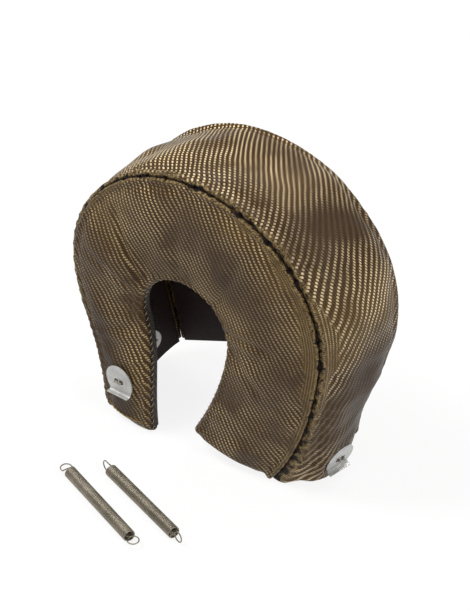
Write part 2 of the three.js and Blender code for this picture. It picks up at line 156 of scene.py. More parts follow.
class Shader:
    """The node tree of a material, or of the world."""

    def __init__(self, name: str, world: Optional[bpy.types.World] = None) -> None:
        """Start an empty tree in a new material of this name, or in the world given."""
        self.material = world or bpy.data.materials.new(name)
        self.material.use_nodes = True
        self.tree = self.material.node_tree
        self.tree.nodes.clear()

    def node(
        self,
        kind: str,
        settings: Optional[dict[str, Any]] = None,
        sockets: Optional[dict[Union[str, int], Any]] = None,
    ) -> bpy.types.Node:
        """Add one node.

        Args:
            kind: The node's type.
            settings: Its properties, set first.
            sockets: Values, sockets or Values for its inputs, by name or number.

        Returns:
            The node.
        """
        made = self.tree.nodes.new(kind)
        for key, value in (settings or {}).items():
            setattr(made, key, value)
        for key, value in (sockets or {}).items():
            self.feed(made.inputs[key], value)
        return made

    def feed(self, socket: Socket, value: Any) -> None:
        """Link a socket or a Value to an input, or set a plain value on it."""
        if isinstance(value, Value):
            value = value.socket
        if isinstance(value, bpy.types.NodeSocket):
            self.tree.links.new(value, socket)
        else:
            socket.default_value = value

    def math(self, operation: str, *operands: Number) -> Value:
        """One Math node on these operands."""
        made = self.node("ShaderNodeMath", {"operation": operation}, dict(enumerate(operands)))
        return Value(self, made.outputs[0])

    def blend(self, factor: Number, first: Any, second: Any) -> Socket:
        """Colour between two, by a factor."""
        made = self.node("ShaderNodeMix", {"data_type": "RGBA"}, {0: factor, 6: first, 7: second})
        return made.outputs[2]

    def split(self, vector: Socket) -> tuple[Value, Value]:
        """First and second part of a vector."""
        parts = self.node("ShaderNodeSeparateXYZ", None, {0: vector})
        return Value(self, parts.outputs[0]), Value(self, parts.outputs[1])

    def flat(self, name: str) -> Socket:
        """One of the piece's own flat maps."""
        return self.node("ShaderNodeUVMap", {"uv_map": name}).outputs[0]

    def mapped(self, vector: Socket, **moves: Any) -> Socket:
        """A vector scaled or turned, by a Mapping node's Scale or Rotation."""
        return self.node("ShaderNodeMapping", None, {"Vector": vector, **moves}).outputs[0]

    def objects(self) -> Socket:
        """Object coordinates, in metres."""
        return self.node("ShaderNodeTexCoord").outputs["Object"]

    def noise(self, vector: Socket, scale: float, detail: float = 3.0, stretch: float = 0.0) -> Value:
        """Smooth noise from 0 to 1 about 0.5.

        Args:
            vector: The place.
            scale: Cells per metre, or per unit of the vector.
            detail: Octaves.
            stretch: Distortion.

        Returns:
            The noise's value.
        """
        sockets = {"Vector": vector, "Scale": scale, "Detail": detail, "Distortion": stretch}
        return Value(self, self.node("ShaderNodeTexNoise", None, sockets).outputs["Fac"])

    def bump(self, height: Value, distance: float, strength: float = 1.0) -> Socket:
        """Normal that a height bends, the height's unit being distance in metres."""
        sockets = {"Height": height, "Distance": distance, "Strength": strength}
        return self.node("ShaderNodeBump", None, sockets).outputs["Normal"]

    def close(self, **surface: Any) -> bpy.types.Material:
        """Join a Principled surface to the output.

        Args:
            surface: Its inputs, with underscores for the spaces of their names.

        Returns:
            The finished material.
        """
        sockets = {key.replace("_", " "): value for key, value in surface.items()}
        made = self.node("ShaderNodeBsdfPrincipled", None, sockets)
        self.node("ShaderNodeOutputMaterial", None, {"Surface": made.outputs[0]})
        return self.material


@dataclass(frozen=True)
class Weave:
    """Glossy twill: a dark brown ground crossed by columns of short floats, each with a beige painted
    highlight.

    The columns turn by so many degrees on the piece's map. A column and a step between its floats are
    given in millimetres, patches is how uneven the floats' painted highlight is, and hem_reach is how far
    from the seam the cloth's columns follow it, in millimetres.
    """

    name: str
    turn: float
    column: float = 2.7
    step: float = 1.85
    # The shade colour is painted shade, the golden one painted light, the float colour a painted highlight,
    # and the wall and groove colours painted shade.
    shade: Colour = rgb(31, 20, 10)
    ground: Colour = rgb(86, 62, 34)
    golden_highlight: Colour = rgb(124, 100, 56)
    float_highlight: Colour = rgb(222, 199, 156)
    torn_shade: Colour = rgb(48, 35, 20)
    torn_tint: Colour = rgb(168, 144, 96)
    wall_shade: Colour = rgb(26, 19, 12)
    groove_shade: Colour = rgb(20, 14, 9)
    patches: float = 0.85
    hem_reach: float = 3.0

    @staticmethod
    def pattern(across: Value, along: Value) -> tuple[Value, Value]:
        """Floats and yarns at a place given across and along the columns.

        Column k lies about every whole number across. A float stands about every whole number along, half
        a step further in each next column: 1 less the squares of its two distances over its half sizes.
        The yarn runs on from it obliquely, under its neighbours.

        Args:
            across: Place across, in columns.
            along: Place along, in steps.

        Returns:
            How much float, and how high the yarn's back, both from 0 to 1.
        """
        number = (across + 0.5).floor()
        x = across - number
        y = (along + number * 0.5 + x * FLOAT_SLANT).centred()
        z = (along + number * 0.5 + x * YARN_SLANT).centred()
        flecks = ((1 - x * x * 15.0 - y * y * 6.0) * 1.9).clamped()
        return flecks, (1 - z * z * 4.0) * (1 - x * x * 1.6)

    def material(self) -> bpy.types.Material:
        """Cloth on the piece's own maps, in millimetres.

        The floats' painted highlight fades and the cloth takes painted shade at spots of painted shade, and
        the float highlight and the yarns' painted light grow at spots of painted highlight. Beside the seam
        the columns follow it, the outermost yarns are frayed and the groove is painted dark with shade in
        uneven blotches. The wall that turns in at the rim is painted dark with shade.
        """
        s = Shader(self.name)
        cloth = s.flat("cloth")
        off, run = s.split(s.flat("edge"))
        # Spots of painted shade and of painted highlight, read from the piece's own map.
        painted_shade, painted_highlight = s.split(s.flat("painted_light_and_shade"))
        folded = s.split(s.flat("wall"))[0]
        drift = s.node("ShaderNodeTexNoise", None, {"Vector": cloth, "Scale": 0.06, "Detail": 2.0})
        shift = s.node(
            "ShaderNodeVectorMath",
            {"operation": "MULTIPLY_ADD"},
            {0: drift.outputs["Color"], 1: (2.2, 2.2, 0.0), 2: cloth},
        ).outputs[0]
        across, along = s.split(s.mapped(shift, Rotation=(0.0, 0.0, np.radians(self.turn))))
        flecks, back = self.pattern(across / self.column, along / self.step)

        place = s.objects()
        broad = s.noise(place, 13.0, 3.0)
        patch = s.noise(place, 36.0, 2.0, 0.4)
        fine = s.noise(cloth, 1.1, 3.0)
        rough_edge = s.noise(place, 620.0, 3.0, 1.2)
        blotch = s.noise(place, 190.0, 2.0, 0.6)
        hem = ((self.hem_reach + (broad - 0.5) * 44.0 - off) * 0.3).clamped()
        hem_flecks, hem_back = self.pattern(off / 1.9 + (fine - 0.5) * 0.5, run / 1.5)
        flecks = flecks * (1 - hem) + hem_flecks * hem * 0.6
        back = back * (1 - hem) + hem_back * hem
        frayed = ((3.2 + (blotch - 0.5) * 6.0 - off) * 0.7).clamped()
        sunk = ((1.25 + (blotch - 0.5) * 9.0 - off) * 1.2).clamped()

        # Painted highlight on the floats: uneven in patches, weaker at spots of painted shade, stronger at
        # spots of painted highlight.
        strength = patch.ramp(0.37, 4.5) * self.patches + (1 - self.patches)
        strength = (strength * (fine * 2.4 - 0.3).clamped() * (1 - painted_shade) + painted_highlight * 0.5).clamped()
        # Painted light: golden on the yarns' backs where broad noise, the hem and spots of painted highlight
        # lift it, less at spots of painted shade.
        light = ((broad - 0.47) * 4.0 + hem * 0.5 + painted_highlight - painted_shade).clamped()
        # Painted shade between the yarns: darker where the yarns' backs are low.
        base = s.blend((back * 0.85 + (fine - 0.5) * 0.9).clamped(), self.shade, self.ground)
        base = s.blend(light * back * 0.55, base, self.golden_highlight)
        # Painted shade over the spots of painted shade.
        base = s.blend(painted_shade * 0.3, base, self.shade)
        colour = s.blend(flecks * strength, base, self.float_highlight)
        torn = s.blend(rough_edge.ramp(0.42, 5.0), self.torn_shade, self.torn_tint)
        colour = s.blend(frayed * 0.75, colour, torn)
        # Painted shade on the wall turned in at the rim, then in uneven blotches in the seam's groove.
        colour = s.blend(folded.ramp(0.5, 0.6) * 0.9, colour, self.wall_shade)
        colour = s.blend(sunk, colour, self.groove_shade)
        height = back * 0.5 + flecks * 0.7 + (fine - 0.5) * 0.35 + frayed * rough_edge * 2.4
        return s.close(
            Base_Color=colour,
            Roughness=0.5 - flecks * 0.16 + (broad - 0.5) * 0.2,
            Normal=s.bump(height, 0.0004, 0.9),
            Specular_IOR_Level=0.2,
        )


@dataclass(frozen=True)
class LiningCloth:
    """Dark glass cloth of the inside, with a plain weave and a faint reddish cast, its darkness partly
    painted shade of the hollow inside.
    """

    name: str

    def material(self) -> bpy.types.Material:
        """Plain weave of 0.9 mm yarns on the piece's own map."""
        s = Shader(self.name)
        i, j = s.split(s.mapped(s.flat("cloth"), Scale=(1.1, 1.1, 1.1)))
        x, y = i.centred(), j.centred()
        odd = (i.floor() + j.floor()).modulo(2.0) < 0.5
        across = (1 - x * x * 4.0) * odd + (1 - y * y * 4.0) * (1 - odd)
        broad = s.noise(s.objects(), 26.0, 3.0)
        # Painted shade: the yarns' crowns lighter than the hollows between them, and the whole darkened
        # towards black as shade inside the hollow; broad noise varies the tone.
        colour = s.blend((across * 0.6 + (broad - 0.4)).clamped(), rgb(15, 9, 7), rgb(58, 36, 29))
        return s.close(
            Base_Color=colour,
            Roughness=0.55 + (broad - 0.5) * 0.3,
            Normal=s.bump(across + broad * 3, 0.0005, 0.9),
            Specular_IOR_Level=0.25,
        )


@dataclass(frozen=True)
class Thread:
    """Twisted sewing thread."""

    name: str
    light: Colour
    dark: Colour

    def material(self) -> bpy.types.Material:
        """Fine oblique stripes of the twist, with uneven wear."""
        s = Shader(self.name)
        place = s.objects()
        wave = s.node(
            "ShaderNodeTexWave",
            {"bands_direction": "DIAGONAL"},
            {"Vector": place, "Scale": 900.0, "Distortion": 3.0, "Detail": 1.0},
        )
        twist = Value(s, wave.outputs["Fac"])
        worn = s.noise(place, 160.0, 3.0)
        colour = s.blend((twist * 0.6 + (worn - 0.35)).clamped(), self.dark, self.light)
        return s.close(
            Base_Color=colour,
            Roughness=0.78 + (worn - 0.5) * 0.2,
            Normal=s.bump(twist, 0.0002, 0.7),
            Specular_IOR_Level=0.15,
        )


@dataclass(frozen=True)
class FibreMat:
    """Pale needled fibre blanket of the core."""

    name: str

    def material(self) -> bpy.types.Material:
        """Tangled fibres from stretched noise."""
        s = Shader(self.name)
        place = s.objects()
        tangle = s.noise(place, 420.0, 5.0, 2.0)
        colour = s.blend(tangle, rgb(176, 168, 150), rgb(236, 232, 220))
        return s.close(Base_Color=colour, Roughness=0.95, Normal=s.bump(tangle, 0.0008, 0.8))


class Polish(Enum):
    """How a stainless piece is finished."""

    PRESSED = "pressed"
    DRAWN = "drawn"


@dataclass(frozen=True)
class Stainless:
    """Stainless steel, pressed from sheet or drawn into wire."""

    name: str
    polish: Polish
    holes: float = 0.0

    def material(self) -> bpy.types.Material:
        """Clouded grey with hair scratches.

        Where holes is above 0, a dark spot of painted shade, standing for a hole, lies about each of two
        places that far left and right of the middle of the piece's own map.
        """
        s = Shader(self.name)
        place = s.objects()
        pressed = self.polish is Polish.PRESSED
        cloud = s.noise(place, 130.0 if pressed else 70.0, 4.0)
        scratch = s.noise(s.mapped(place, Scale=(160.0, 900.0, 5200.0)), 1.0, 2.0)
        low, high = rgb(112, 105, 92), rgb(168, 160, 144)
        if pressed:
            low, high = rgb(158, 158, 157), rgb(205, 205, 202)
        colour = s.blend((cloud * 1.5 - 0.25).clamped(), low, high)
        if self.holes:
            beside, y = s.split(s.flat("plate"))
            x = abs(beside) - self.holes
            # Painted shade of the two staple holes.
            hole_shade = ((3.6 - x * x - y * y) * 1.2).clamped()
            colour = s.blend(hole_shade, colour, rgb(24, 22, 20))
        return s.close(
            Base_Color=colour,
            Metallic=0.55 if pressed else 0.75,
            Roughness=(0.4 if pressed else 0.46) + (cloud - 0.5) * 0.25 + (scratch - 0.5) * 0.15,
            Normal=s.bump(scratch, 0.00004, 0.5),
        )


# Numbers on grids


def smoothstep(x: Array) -> Array:
    """3x squared less 2x cubed, between 0 and 1."""
    x = np.clip(x, 0.0, 1.0)
    return x * x * (3 - 2 * x)


def bell(x: Array) -> Array:
    """e to the power of minus x squared."""
    return np.exp(-x * x)


def unit(vectors: Array) -> Array:
    """Vectors divided by their lengths."""
    return vectors / np.maximum(np.linalg.norm(vectors, axis=-1, keepdims=True), 1e-9)


def circle(sides: int) -> Array:
    """Cosine and sine of equal steps round a circle, (2, sides)."""
    angle = 2 * np.pi * np.arange(sides) / sides
    return np.stack([np.cos(angle), np.sin(angle)])


def swell(a: Array, b: Array, wavelength: float, seed: int, count: int = 14) -> Array:
    """Seeded random relief between about -1 and 1.

    The sum of count sine waves over the plane of a and b, each with its own direction, phase and a
    wavelength near the one given, divided by the root of the count.
    """
    rng = np.random.default_rng(seed)
    angle = rng.uniform(0, 2 * np.pi, count)
    length = wavelength * rng.uniform(0.75, 1.5, count)
    phase = rng.uniform(0, 2 * np.pi, count)
    across = np.cos(angle)[:, None, None] * a + np.sin(angle)[:, None, None] * b
    return np.sin(2 * np.pi * across / length[:, None, None] + phase[:, None, None]).sum(0) / np.sqrt(count)


def runs(x: Array, spacing: float, seed: int) -> Array:
    """Seeded uneven ripple along a line, about a given spacing, between about -1 and 1.

    A sine of x over the spacing, whose phase is led off by two slower sines.
    """
    rng = np.random.default_rng(seed)
    lead = rng.uniform(0, 2 * np.pi, 3)
    slow = 1.7 * np.sin(x / (spacing * 1.9) + lead[0]) + 1.1 * np.sin(x / (spacing * 0.83) + lead[1])
    return np.sin(2 * np.pi * x / spacing + slow + lead[2])


@dataclass
class PanelEdge:
    """One edge of a cheek in the XZ plane, from the left foot over the arch to the right foot."""

    centre: tuple[float, float]
    radius: float
    start: float
    end: float
    left_foot: tuple[float, float]
    left_aim: tuple[float, float]
    right_foot: tuple[float, float]
    right_aim: tuple[float, float]

    def trace(self, t: Array) -> tuple[Array, Array]:
        """Points and outward directions along the edge.

        The arch is a circle's arc and each leg a cubic Bezier that leaves it tangentially. Outward is
        square to the edge over the arch and turns level towards the feet.

        Args:
            t: Places along the run, 0 at the left foot and 1 at the right.

        Returns:
            Points and outward unit vectors, each (n, 2).
        """
        angle = np.radians(self.start + (self.end - self.start) * (t - LEG_SHARE) / (1 - 2 * LEG_SHARE))
        turn = np.stack([np.cos(angle), np.sin(angle)], -1)
        arc = np.array(self.centre) + self.radius * turn
        arc_way = np.stack([turn[:, 1], -turn[:, 0]], -1)
        up_left, up_right = np.clip(t / LEG_SHARE, 0, 1), np.clip((1 - t) / LEG_SHARE, 0, 1)
        left, left_way = self._leg(self.start, self.left_foot, self.left_aim, LEFT_PULL, up_left)
        right, right_way = self._leg(self.end, self.right_foot, self.right_aim, RIGHT_PULL, up_right)
        on_left, on_right = (t < LEG_SHARE)[:, None], (t > 1 - LEG_SHARE)[:, None]
        points = np.where(on_left, left, np.where(on_right, right, arc))
        way = unit(np.where(on_left, left_way, np.where(on_right, -right_way, arc_way)))
        normal = np.stack([-way[:, 1], way[:, 0]], -1)
        level = np.stack([np.where(t < 0.5, -1.0, 1.0), np.zeros_like(t)], -1)
        footness = np.maximum(left_footness(t), right_footness(t))[:, None]
        return points, unit(normal + (level - normal) * footness)

    def _leg(
        self, angle: float, foot: tuple[float, float], aim: tuple[float, float], pull: float, share: Array
    ) -> tuple[Array, Array]:
        """Bezier from a foot up to the arch: its points and directions."""
        turn = np.array([np.cos(np.radians(angle)), np.sin(np.radians(angle))])
        top = np.array(self.centre) + self.radius * turn
        low = np.array(foot)
        handle = np.array([turn[1], -turn[0]]) * np.linalg.norm(top - low) * pull
        p = [low, low + np.array(aim), top - handle, top]
        s = share[:, None]
        r = 1 - s
        points = r**3 * p[0] + 3 * r * r * s * p[1] + 3 * r * s * s * p[2] + s**3 * p[3]
        way = 3 * r * r * (p[1] - p[0]) + 6 * r * s * (p[2] - p[1]) + 3 * s * s * (p[3] - p[2])
        return points, way


def left_footness(t: Array) -> Array:
    """1 at the left foot, 0 from the arch on."""
    return smoothstep(1 - t / LEG_SHARE)


def right_footness(t: Array) -> Array:
    """1 at the right foot, 0 over the arch."""
    return smoothstep((t - 1 + LEG_SHARE) / LEG_SHARE)


FRONT_SEAM = PanelEdge((0, 0), 102, 192, -6, (-78, -125), (0, 35), (62, -125), (20, 28))
FRONT_RIM = PanelEdge((-10, -21), 35, 195, -5, (-34, -125), (-3, 40), (-4, -112), (10, 18))
REAR_SEAM = PanelEdge((9, 0), 102, 186, -12, (-72, -105), (-8, 28), (82, -125), (0, 35))
REAR_RIM = PanelEdge((19, -21), 35, 185, -15, (-11, -82), (-4, 14), (43, -125), (3, 40))


def pillow(v: Array, lean: Union[float, Array] = 0.0) -> Array:
    """Crown across a panel: 1 less the 2.4th power of twice the way from its middle, to the power 0.8.

    A lean makes it fuller towards v = 0: times 1 plus the lean's share of 1 less 2 v.
    """
    return np.maximum(1 - np.abs(2 * v - 1) ** 2.4, 0) ** 0.8 * (1 + lean * (1 - 2 * v))


def tucked(t: Array, leg: float, toe: float) -> Array:
    """Half the depth, less the tucks at the left and the right foot."""
    return HALF_DEPTH - leg * left_footness(t) - toe * right_footness(t)


def band_sag(t: Array) -> Array:
    """How far the band's backing bows out, in millimetres.

    4, less a pull of 8 at the upper left, plus a bulge of 6.5 at the upper right and a flare of 9 at the
    toe, each fading as a bell or as the footness to the power 1.5.
    """
    return 4 - 8 * bell((t - 0.4) / 0.11) + 6.5 * bell((t - 0.6) / 0.08) + 9 * right_footness(t) ** 1.5


class MeshKit:
    """Puts grids of points into meshes."""

    @staticmethod
    def mesh(
        name: str,
        points: Array,
        faces: Sequence[Array],
        material: bpy.types.Material,
        maps: Optional[dict[str, Array]] = None,
        smooth: bool = True,
    ) -> bpy.types.Object:
        """One object at the origin.

        Args:
            name: The piece's name.
            points: Places in millimetres, (n, 3).
            faces: Index arrays, each (k, corners).
            material: Its finish.
            maps: Flat maps by name, per point, in millimetres, (n, 2).
            smooth: Whether the faces are shaded smooth.

        Returns:
            The object.
        """
        mesh = bpy.data.meshes.new(name)
        sizes = np.concatenate([np.full(len(f), f.shape[1]) for f in faces])
        corners = np.concatenate([f.reshape(-1) for f in faces]).astype(np.int32)
        starts = np.concatenate([[0], np.cumsum(sizes)[:-1]]).astype(np.int32)
        mesh.vertices.add(len(points))
        mesh.vertices.foreach_set("co", (points * MM).astype(np.float32).reshape(-1))
        mesh.loops.add(len(corners))
        mesh.loops.foreach_set("vertex_index", corners)
        mesh.polygons.add(len(sizes))
        mesh.polygons.foreach_set("loop_start", starts)
        mesh.polygons.foreach_set("use_smooth", np.full(len(sizes), smooth))
        mesh.update(calc_edges=True)
        for title, flat in (maps or {}).items():
            layer = mesh.uv_layers.new(name=title)
            layer.data.foreach_set("uv", flat[corners].astype(np.float32).reshape(-1))
        mesh.validate()
        mesh.materials.append(material)
        made = bpy.data.objects.new(name, mesh)
        bpy.context.scene.collection.objects.link(made)
        return made

    @staticmethod
    def tube_faces(rings: int, sides: int, offset: int = 0) -> list[Array]:
        """Quads round a run of rings, then its two end faces, with offset added to each index."""
        i, j = np.meshgrid(np.arange(rings - 1), np.arange(sides), indexing="ij")
        a, b = i * sides + j, i * sides + (j + 1) % sides
        quads = np.stack([a, b, b + sides, a + sides], -1).reshape(-1, 4) + offset
        first = np.arange(sides)[::-1][None] + offset
        last = (rings - 1) * sides + np.arange(sides)[None] + offset
        return [quads, first, last]

    @staticmethod
    def tube(path: Array, radius: float, sides: int) -> Array:
        """Rings round a path, (n * sides, 3).

        At each point the ring stands square to the path, on a frame carried along it: the across vector
        of one point is the last one's less its part along the path, set to length 1.
        """
        way = unit(np.gradient(path, axis=0))
        across = np.zeros_like(path)
        start = np.cross(way[0], [0.31, 0.55, 0.78])
        across[0] = start / np.linalg.norm(start)
        for k in range(1, len(path)):
            step = across[k - 1] - way[k] * np.dot(across[k - 1], way[k])
            across[k] = step / np.linalg.norm(step)
        other = np.cross(way, across)
        cos, sin = circle(sides)[..., None]
        ring = cos * across[:, None] + sin * other[:, None]
        return (path[:, None] + ring * radius).reshape(-1, 3)

    @staticmethod
    def lathe(profile: Array, sides: int) -> Array:
        """Rings round Z from pairs of radius and height, (n * sides, 3)."""
        cos, sin = circle(sides)
        radius = profile[:, :1]
        height = np.broadcast_to(profile[:, 1:], (len(profile), sides))
        return np.stack([radius * cos, radius * sin, height], -1).reshape(-1, 3)


@dataclass
class Fold:
    """A valley with raised shoulders across a panel, between two places in (t, v)."""

    start: tuple[float, float]
    end: tuple[float, float]
    depth: float
    width: float
    shoulder: float = 0.5

    def relief(self, t: Array, v: Array, run: float, width: float) -> Array:
        """Height in millimetres.

        With d the distance from the line: minus depth times e to minus (d/width) squared, plus the
        shoulder's share of it at 1.9 widths on both sides, all of it fading beyond the line's ends.
        """
        a = np.array([self.start[0] * run, self.start[1] * width])
        b = np.array([self.end[0] * run, self.end[1] * width])
        way = (b - a) / np.linalg.norm(b - a)
        x, y = t * run - a[0], v * width - a[1]
        along = x * way[0] + y * way[1]
        off = x * way[1] - y * way[0]
        beyond = np.maximum(np.maximum(-along, along - np.linalg.norm(b - a)), 0)
        fade = bell(beyond / (self.width * 1.6))
        valley = bell(off / self.width)
        sides = bell((np.abs(off) - 1.9 * self.width) / self.width)
        return self.depth * fade * (self.shoulder * sides - valley)


@dataclass
class Ridge:
    """A ridge, or below 0 a groove, that runs along a seam."""

    height: float
    pinch: float
    at: float
    width: float

    def relief(self, off: Array, pinch: Array) -> Array:
        """Height at a distance from the seam: a bell about its place, its height led by the pinch."""
        return (self.height + self.pinch * pinch) * bell((off - self.at) / self.width)


@dataclass
class Section:
    """The ring round one padded layer: an outer face, the two edge walls and a back face.

    A ring point lies a lead, a share of the width between the insets and a reach, added up, from the
    panel's first edge, at a depth below the outer face. The corners between the face and the walls are
    quarter circles.
    """

    start_round: float
    end_round: float
    start_gap: float
    end_gap: float
    top: float
    bottom: float
    face_cells: int = 88
    back_cells: int = 20
    back_round: float = 1.2

    def ring(self, width: Array) -> tuple[Array, Array, Array]:
        """Places round the ring for each station.

        Args:
            width: The panel's width at each station, in millimetres.

        Returns:
            The place across v (n, m), the depth (m) and how far a point belongs to the outer face (m).
        """
        u = np.linspace(0, 1, self.face_cells + 1)
        u = 0.6 * u + 0.4 * (1 - np.cos(np.pi * u)) / 2
        arc = np.linspace(0, np.pi / 2, 7)[:-1]
        ra, rb, rk = self.start_round, self.end_round, self.back_round
        low, high = 1 - np.sin(arc), 1 - np.cos(arc)
        wall = np.linspace(self.top + ra, self.bottom - rk, 7)
        back = np.linspace(0, 1, self.back_cells + 1)
        far_wall = np.linspace(self.bottom - rk, self.top + rb, 7)[:-1]
        inset_a, inset_b = self.start_gap + ra, self.end_gap + rb
        parts = [
            (inset_a, u[::-1], self.top, 1, 0, 0),
            (self.start_gap + ra * low[1:], 0, self.top + ra * high[1:], np.cos(arc[1:]), 0, 0),
            (self.start_gap, 0, wall, 0, 0, 0),
            (self.start_gap + rk, back, self.bottom, 0, 0, 1),
            (inset_a, 1, far_wall, 0, rb, 0),
            (inset_a, 1, self.top + rb * low, np.sin(arc), rb * np.cos(arc), 0),
        ]
        columns = [np.stack(np.broadcast_arrays(*part)) for part in parts]
        lead, share, depth, face, reach, behind = np.concatenate(columns, 1)
        span = width[:, None] - inset_a - inset_b
        back_span = width[:, None] - self.start_gap - self.end_gap - 2 * rk
        x = lead + np.where(behind > 0, share * back_span, share * span + reach)
        return x / width[:, None], depth, face


@dataclass
class Seat:
    """Where a hook disc sits: its middle and its axes, Z out of the cloth and Y up the leg.

    The wall is the thickness of cloth between the disc and its washer, in millimetres.
    """

    name: str
    centre: Array
    axes: Array
    wall: float

    def local(self, points: Array) -> Array:
        """Points in the seat's own axes."""
        return (points - self.centre) @ self.axes.T

    def world(self, points: Array) -> Array:
        """Points given in the seat's own axes, in the part's axes."""
        return points @ self.axes + self.centre

    def press(self, points: Array, face: Array) -> Array:
        """Outer cloth pressed flat under the disc, with a dimple of 0.5 mm where the staple pulls.

        Cloth that stands over a ceiling is set down on it, fully within 13 mm of the middle and less and
        less up to 21 mm. The ceiling lies 0.25 mm under the disc, and beyond 12.5 mm it rises by 0.35 mm
        for each millimetre. Cloth 9 mm or more from the disc's plane, as on the leg's other side, stays.

        Args:
            points: The layer's points, (n, m, 3).
            face: How far a point belongs to the outer face, (m).

        Returns:
            The moved points.
        """
        flat = self.local(points)
        off = np.hypot(flat[..., 0], flat[..., 1])
        near = smoothstep((21 - off) / 8.0) * (np.abs(flat[..., 2]) < 9)
        ceiling = -0.25 + 0.35 * np.maximum(off - 12.5, 0)
        over = np.maximum(flat[..., 2] - ceiling, 0) * near * face
        flat[..., 2] -= over + 0.5 * bell(off / 5.0) * near * face
        return self.world(flat)


@dataclass
class Panel:
    """A padded panel: a cover, the core that fills it and the lining that closes it."""

    name: str
    weave: Weave
    seats: list[Seat] = field(default_factory=list)
    folds: list[Fold] = field(default_factory=list)
    # Spots of painted shade, with an amount above 0, and of painted highlight, with one below 0.
    light_and_shade_spots: list[tuple[float, float, float, float, float]] = field(default_factory=list)
    stations: int = 520
    core_stations: int = 160
    lining_stations: int = 220
    foot_close: float = 9.0
    foot_share: float = 0.42
    seam_hold: float = 7.0
    face_column: int = 40
    seed: int = 1
    run: float = 560.0
    mean_width: float = 70.0

    def place(self, t: Array, v: Array, depth: Array, puff: Array) -> Array:
        """Points of the panel at t along the run (n), v across (n, m), at a depth, puffed by a share."""
        raise NotImplementedError

    def width(self, t: Array) -> Array:
        """The panel's width at each station."""
        raise NotImplementedError

    def relief(self, t: Array, v: Array) -> Array:
        """Folds and puckers of the outer face, in millimetres along its normal."""
        raise NotImplementedError

    def map(self, t: Array, v: Array, points: Array) -> Array:
        """Cloth map in millimetres for each point of the outer face."""
        raise NotImplementedError

    def edge(self, t: Array, v: Array) -> Array:
        """Distance from the nearest seam and place along the run, in millimetres."""
        raise NotImplementedError

    def wall(self, points: Array, t: Array, v: Array) -> Array:
        """How far a point lies down the panel's edge wall, in millimetres, and nought."""
        return np.zeros(v.shape + (2,))

    def painted_light_and_shade(self, t: Array, v: Array) -> Array:
        """How much painted shade and painted highlight the cloth gets, each the sum of bells about chosen
        places.

        A spot is a place (t, v), its half widths along and across in millimetres and its amount, which is
        above 0 for painted shade and below 0 for a painted highlight.
        """
        both = np.zeros((2,) + v.shape)
        for at, across, long, wide, amount in self.light_and_shade_spots:
            spot = bell(np.hypot((t - at) * self.run / long, (v - across) * self.mean_width / wide))
            both[0 if amount > 0 else 1] += abs(amount) * spot
        return np.clip(both, 0, 1).reshape(2, -1).T

    def grid(self, section: Section, stations: int, dressed: bool) -> tuple[Array, Array, Array]:
        """The layer's surface.

        Stations lie closer together near both feet: t is u less 0.3 times the sine of 2 pi u over 2 pi.
        The outer face moves along its normal by the relief. Near each foot, the layer closes to a share
        of its thickness about its middle, as where it is sewn shut, but for its wall at the seam.

        Args:
            section: The layer's ring.
            stations: How many rings.
            dressed: Whether folds, dimples and closed feet are added.

        Returns:
            Points (n, m, 3), t (n, 1) and v (n, m).
        """
        u = np.linspace(0, 1, stations)
        t = u - 0.3 * np.sin(2 * np.pi * u) / (2 * np.pi)
        v, depth, face = section.ring(self.width(t))
        t = t[:, None]
        points = self.place(t[:, 0], v, depth, face)
        if dressed:
            points = self.dress(points, t, v, face)
        return points, t, v

    def dress(self, points: Array, t: Array, v: Array, face: Array) -> Array:
        """The outer face with its relief, the feet sewn shut and the cloth pressed flat under each disc."""
        normal = unit(np.cross(np.gradient(points, axis=0), np.gradient(points, axis=1)))
        inner = self.place(t[:, 0], v, np.full(v.shape[1], PAD_THICKNESS / 2), np.zeros(v.shape[1]))
        sign = np.sign(np.sum(normal * (points - inner), -1, keepdims=True) * face[None, :, None] + 1e-12)
        middle = sign[len(t) // 2, self.face_column]
        points = points + normal * middle * (self.relief(t, v) * face)[..., None]
        for end in (t, 1 - t):
            gap = np.clip(end * self.run / self.foot_close, 0, 1)
            close = self.foot_share + (1 - self.foot_share) * np.sqrt(1 - (1 - gap) ** 2)
            close = 1 - (1 - close) * smoothstep(self.edge(t, v)[..., 0] / self.seam_hold)
            points = inner + (points - inner) * close[..., None]
        for seat in self.seats:
            points = seat.press(points, face)
        return points

    def build(self) -> list[bpy.types.Object]:
        """Cover, core and lining, each on its CAD node's place."""
        weave, fibre = self.weave.material(), FibreMat(f"{self.name}_mat").material()
        glass = LiningCloth(f"{self.name}_glass").material()
        cover_ring, core_ring, lining_ring = self.sections()
        cover = self.solid(f"{self.name}_cloth", cover_ring, self.stations, True, weave)
        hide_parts(f"{self.name}_cover")
        core = self.solid(f"{self.name}_fibre", core_ring, self.core_stations, False, fibre)
        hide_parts(f"{self.name}_core")
        lining = self.solid(f"{self.name}_inside", lining_ring, self.lining_stations, False, glass)
        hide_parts(f"{self.name}_lining")
        return [cover, core, lining]

    def cut(self, lining: bpy.types.Object) -> tuple[float, float, float]:
        """Flat size of the lining's blank: width, length and area, in metres and square metres."""
        area = sum(face.area for face in lining.data.polygons) / 2
        corners = np.array([corner[:] for corner in lining.bound_box])
        size = corners.max(0) - corners.min(0)
        return float(size[0]), float(size[2]), float(area)

    def solid(
        self, name: str, section: Section, stations: int, dressed: bool, material: bpy.types.Material
    ) -> bpy.types.Object:
        """One closed layer, with its maps in millimetres."""
        points, t, v = self.grid(section, stations, dressed)
        maps = {
            "cloth": self.map(t, v, points),
            "edge": self.edge(t, v),
            "painted_light_and_shade": self.painted_light_and_shade(t, v),
            "wall": self.wall(points, t, v),
        }
        made = MeshKit.mesh(
            name,
            points.reshape(-1, 3),
            MeshKit.tube_faces(*v.shape),
            material,
            {title: flat.reshape(-1, 2) for title, flat in maps.items()},
        )
        outward(made)
        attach(made, "root")
        return made

    def sections(self) -> list[Section]:
        """Rings of the cover, the core and the lining."""
        raise NotImplementedError


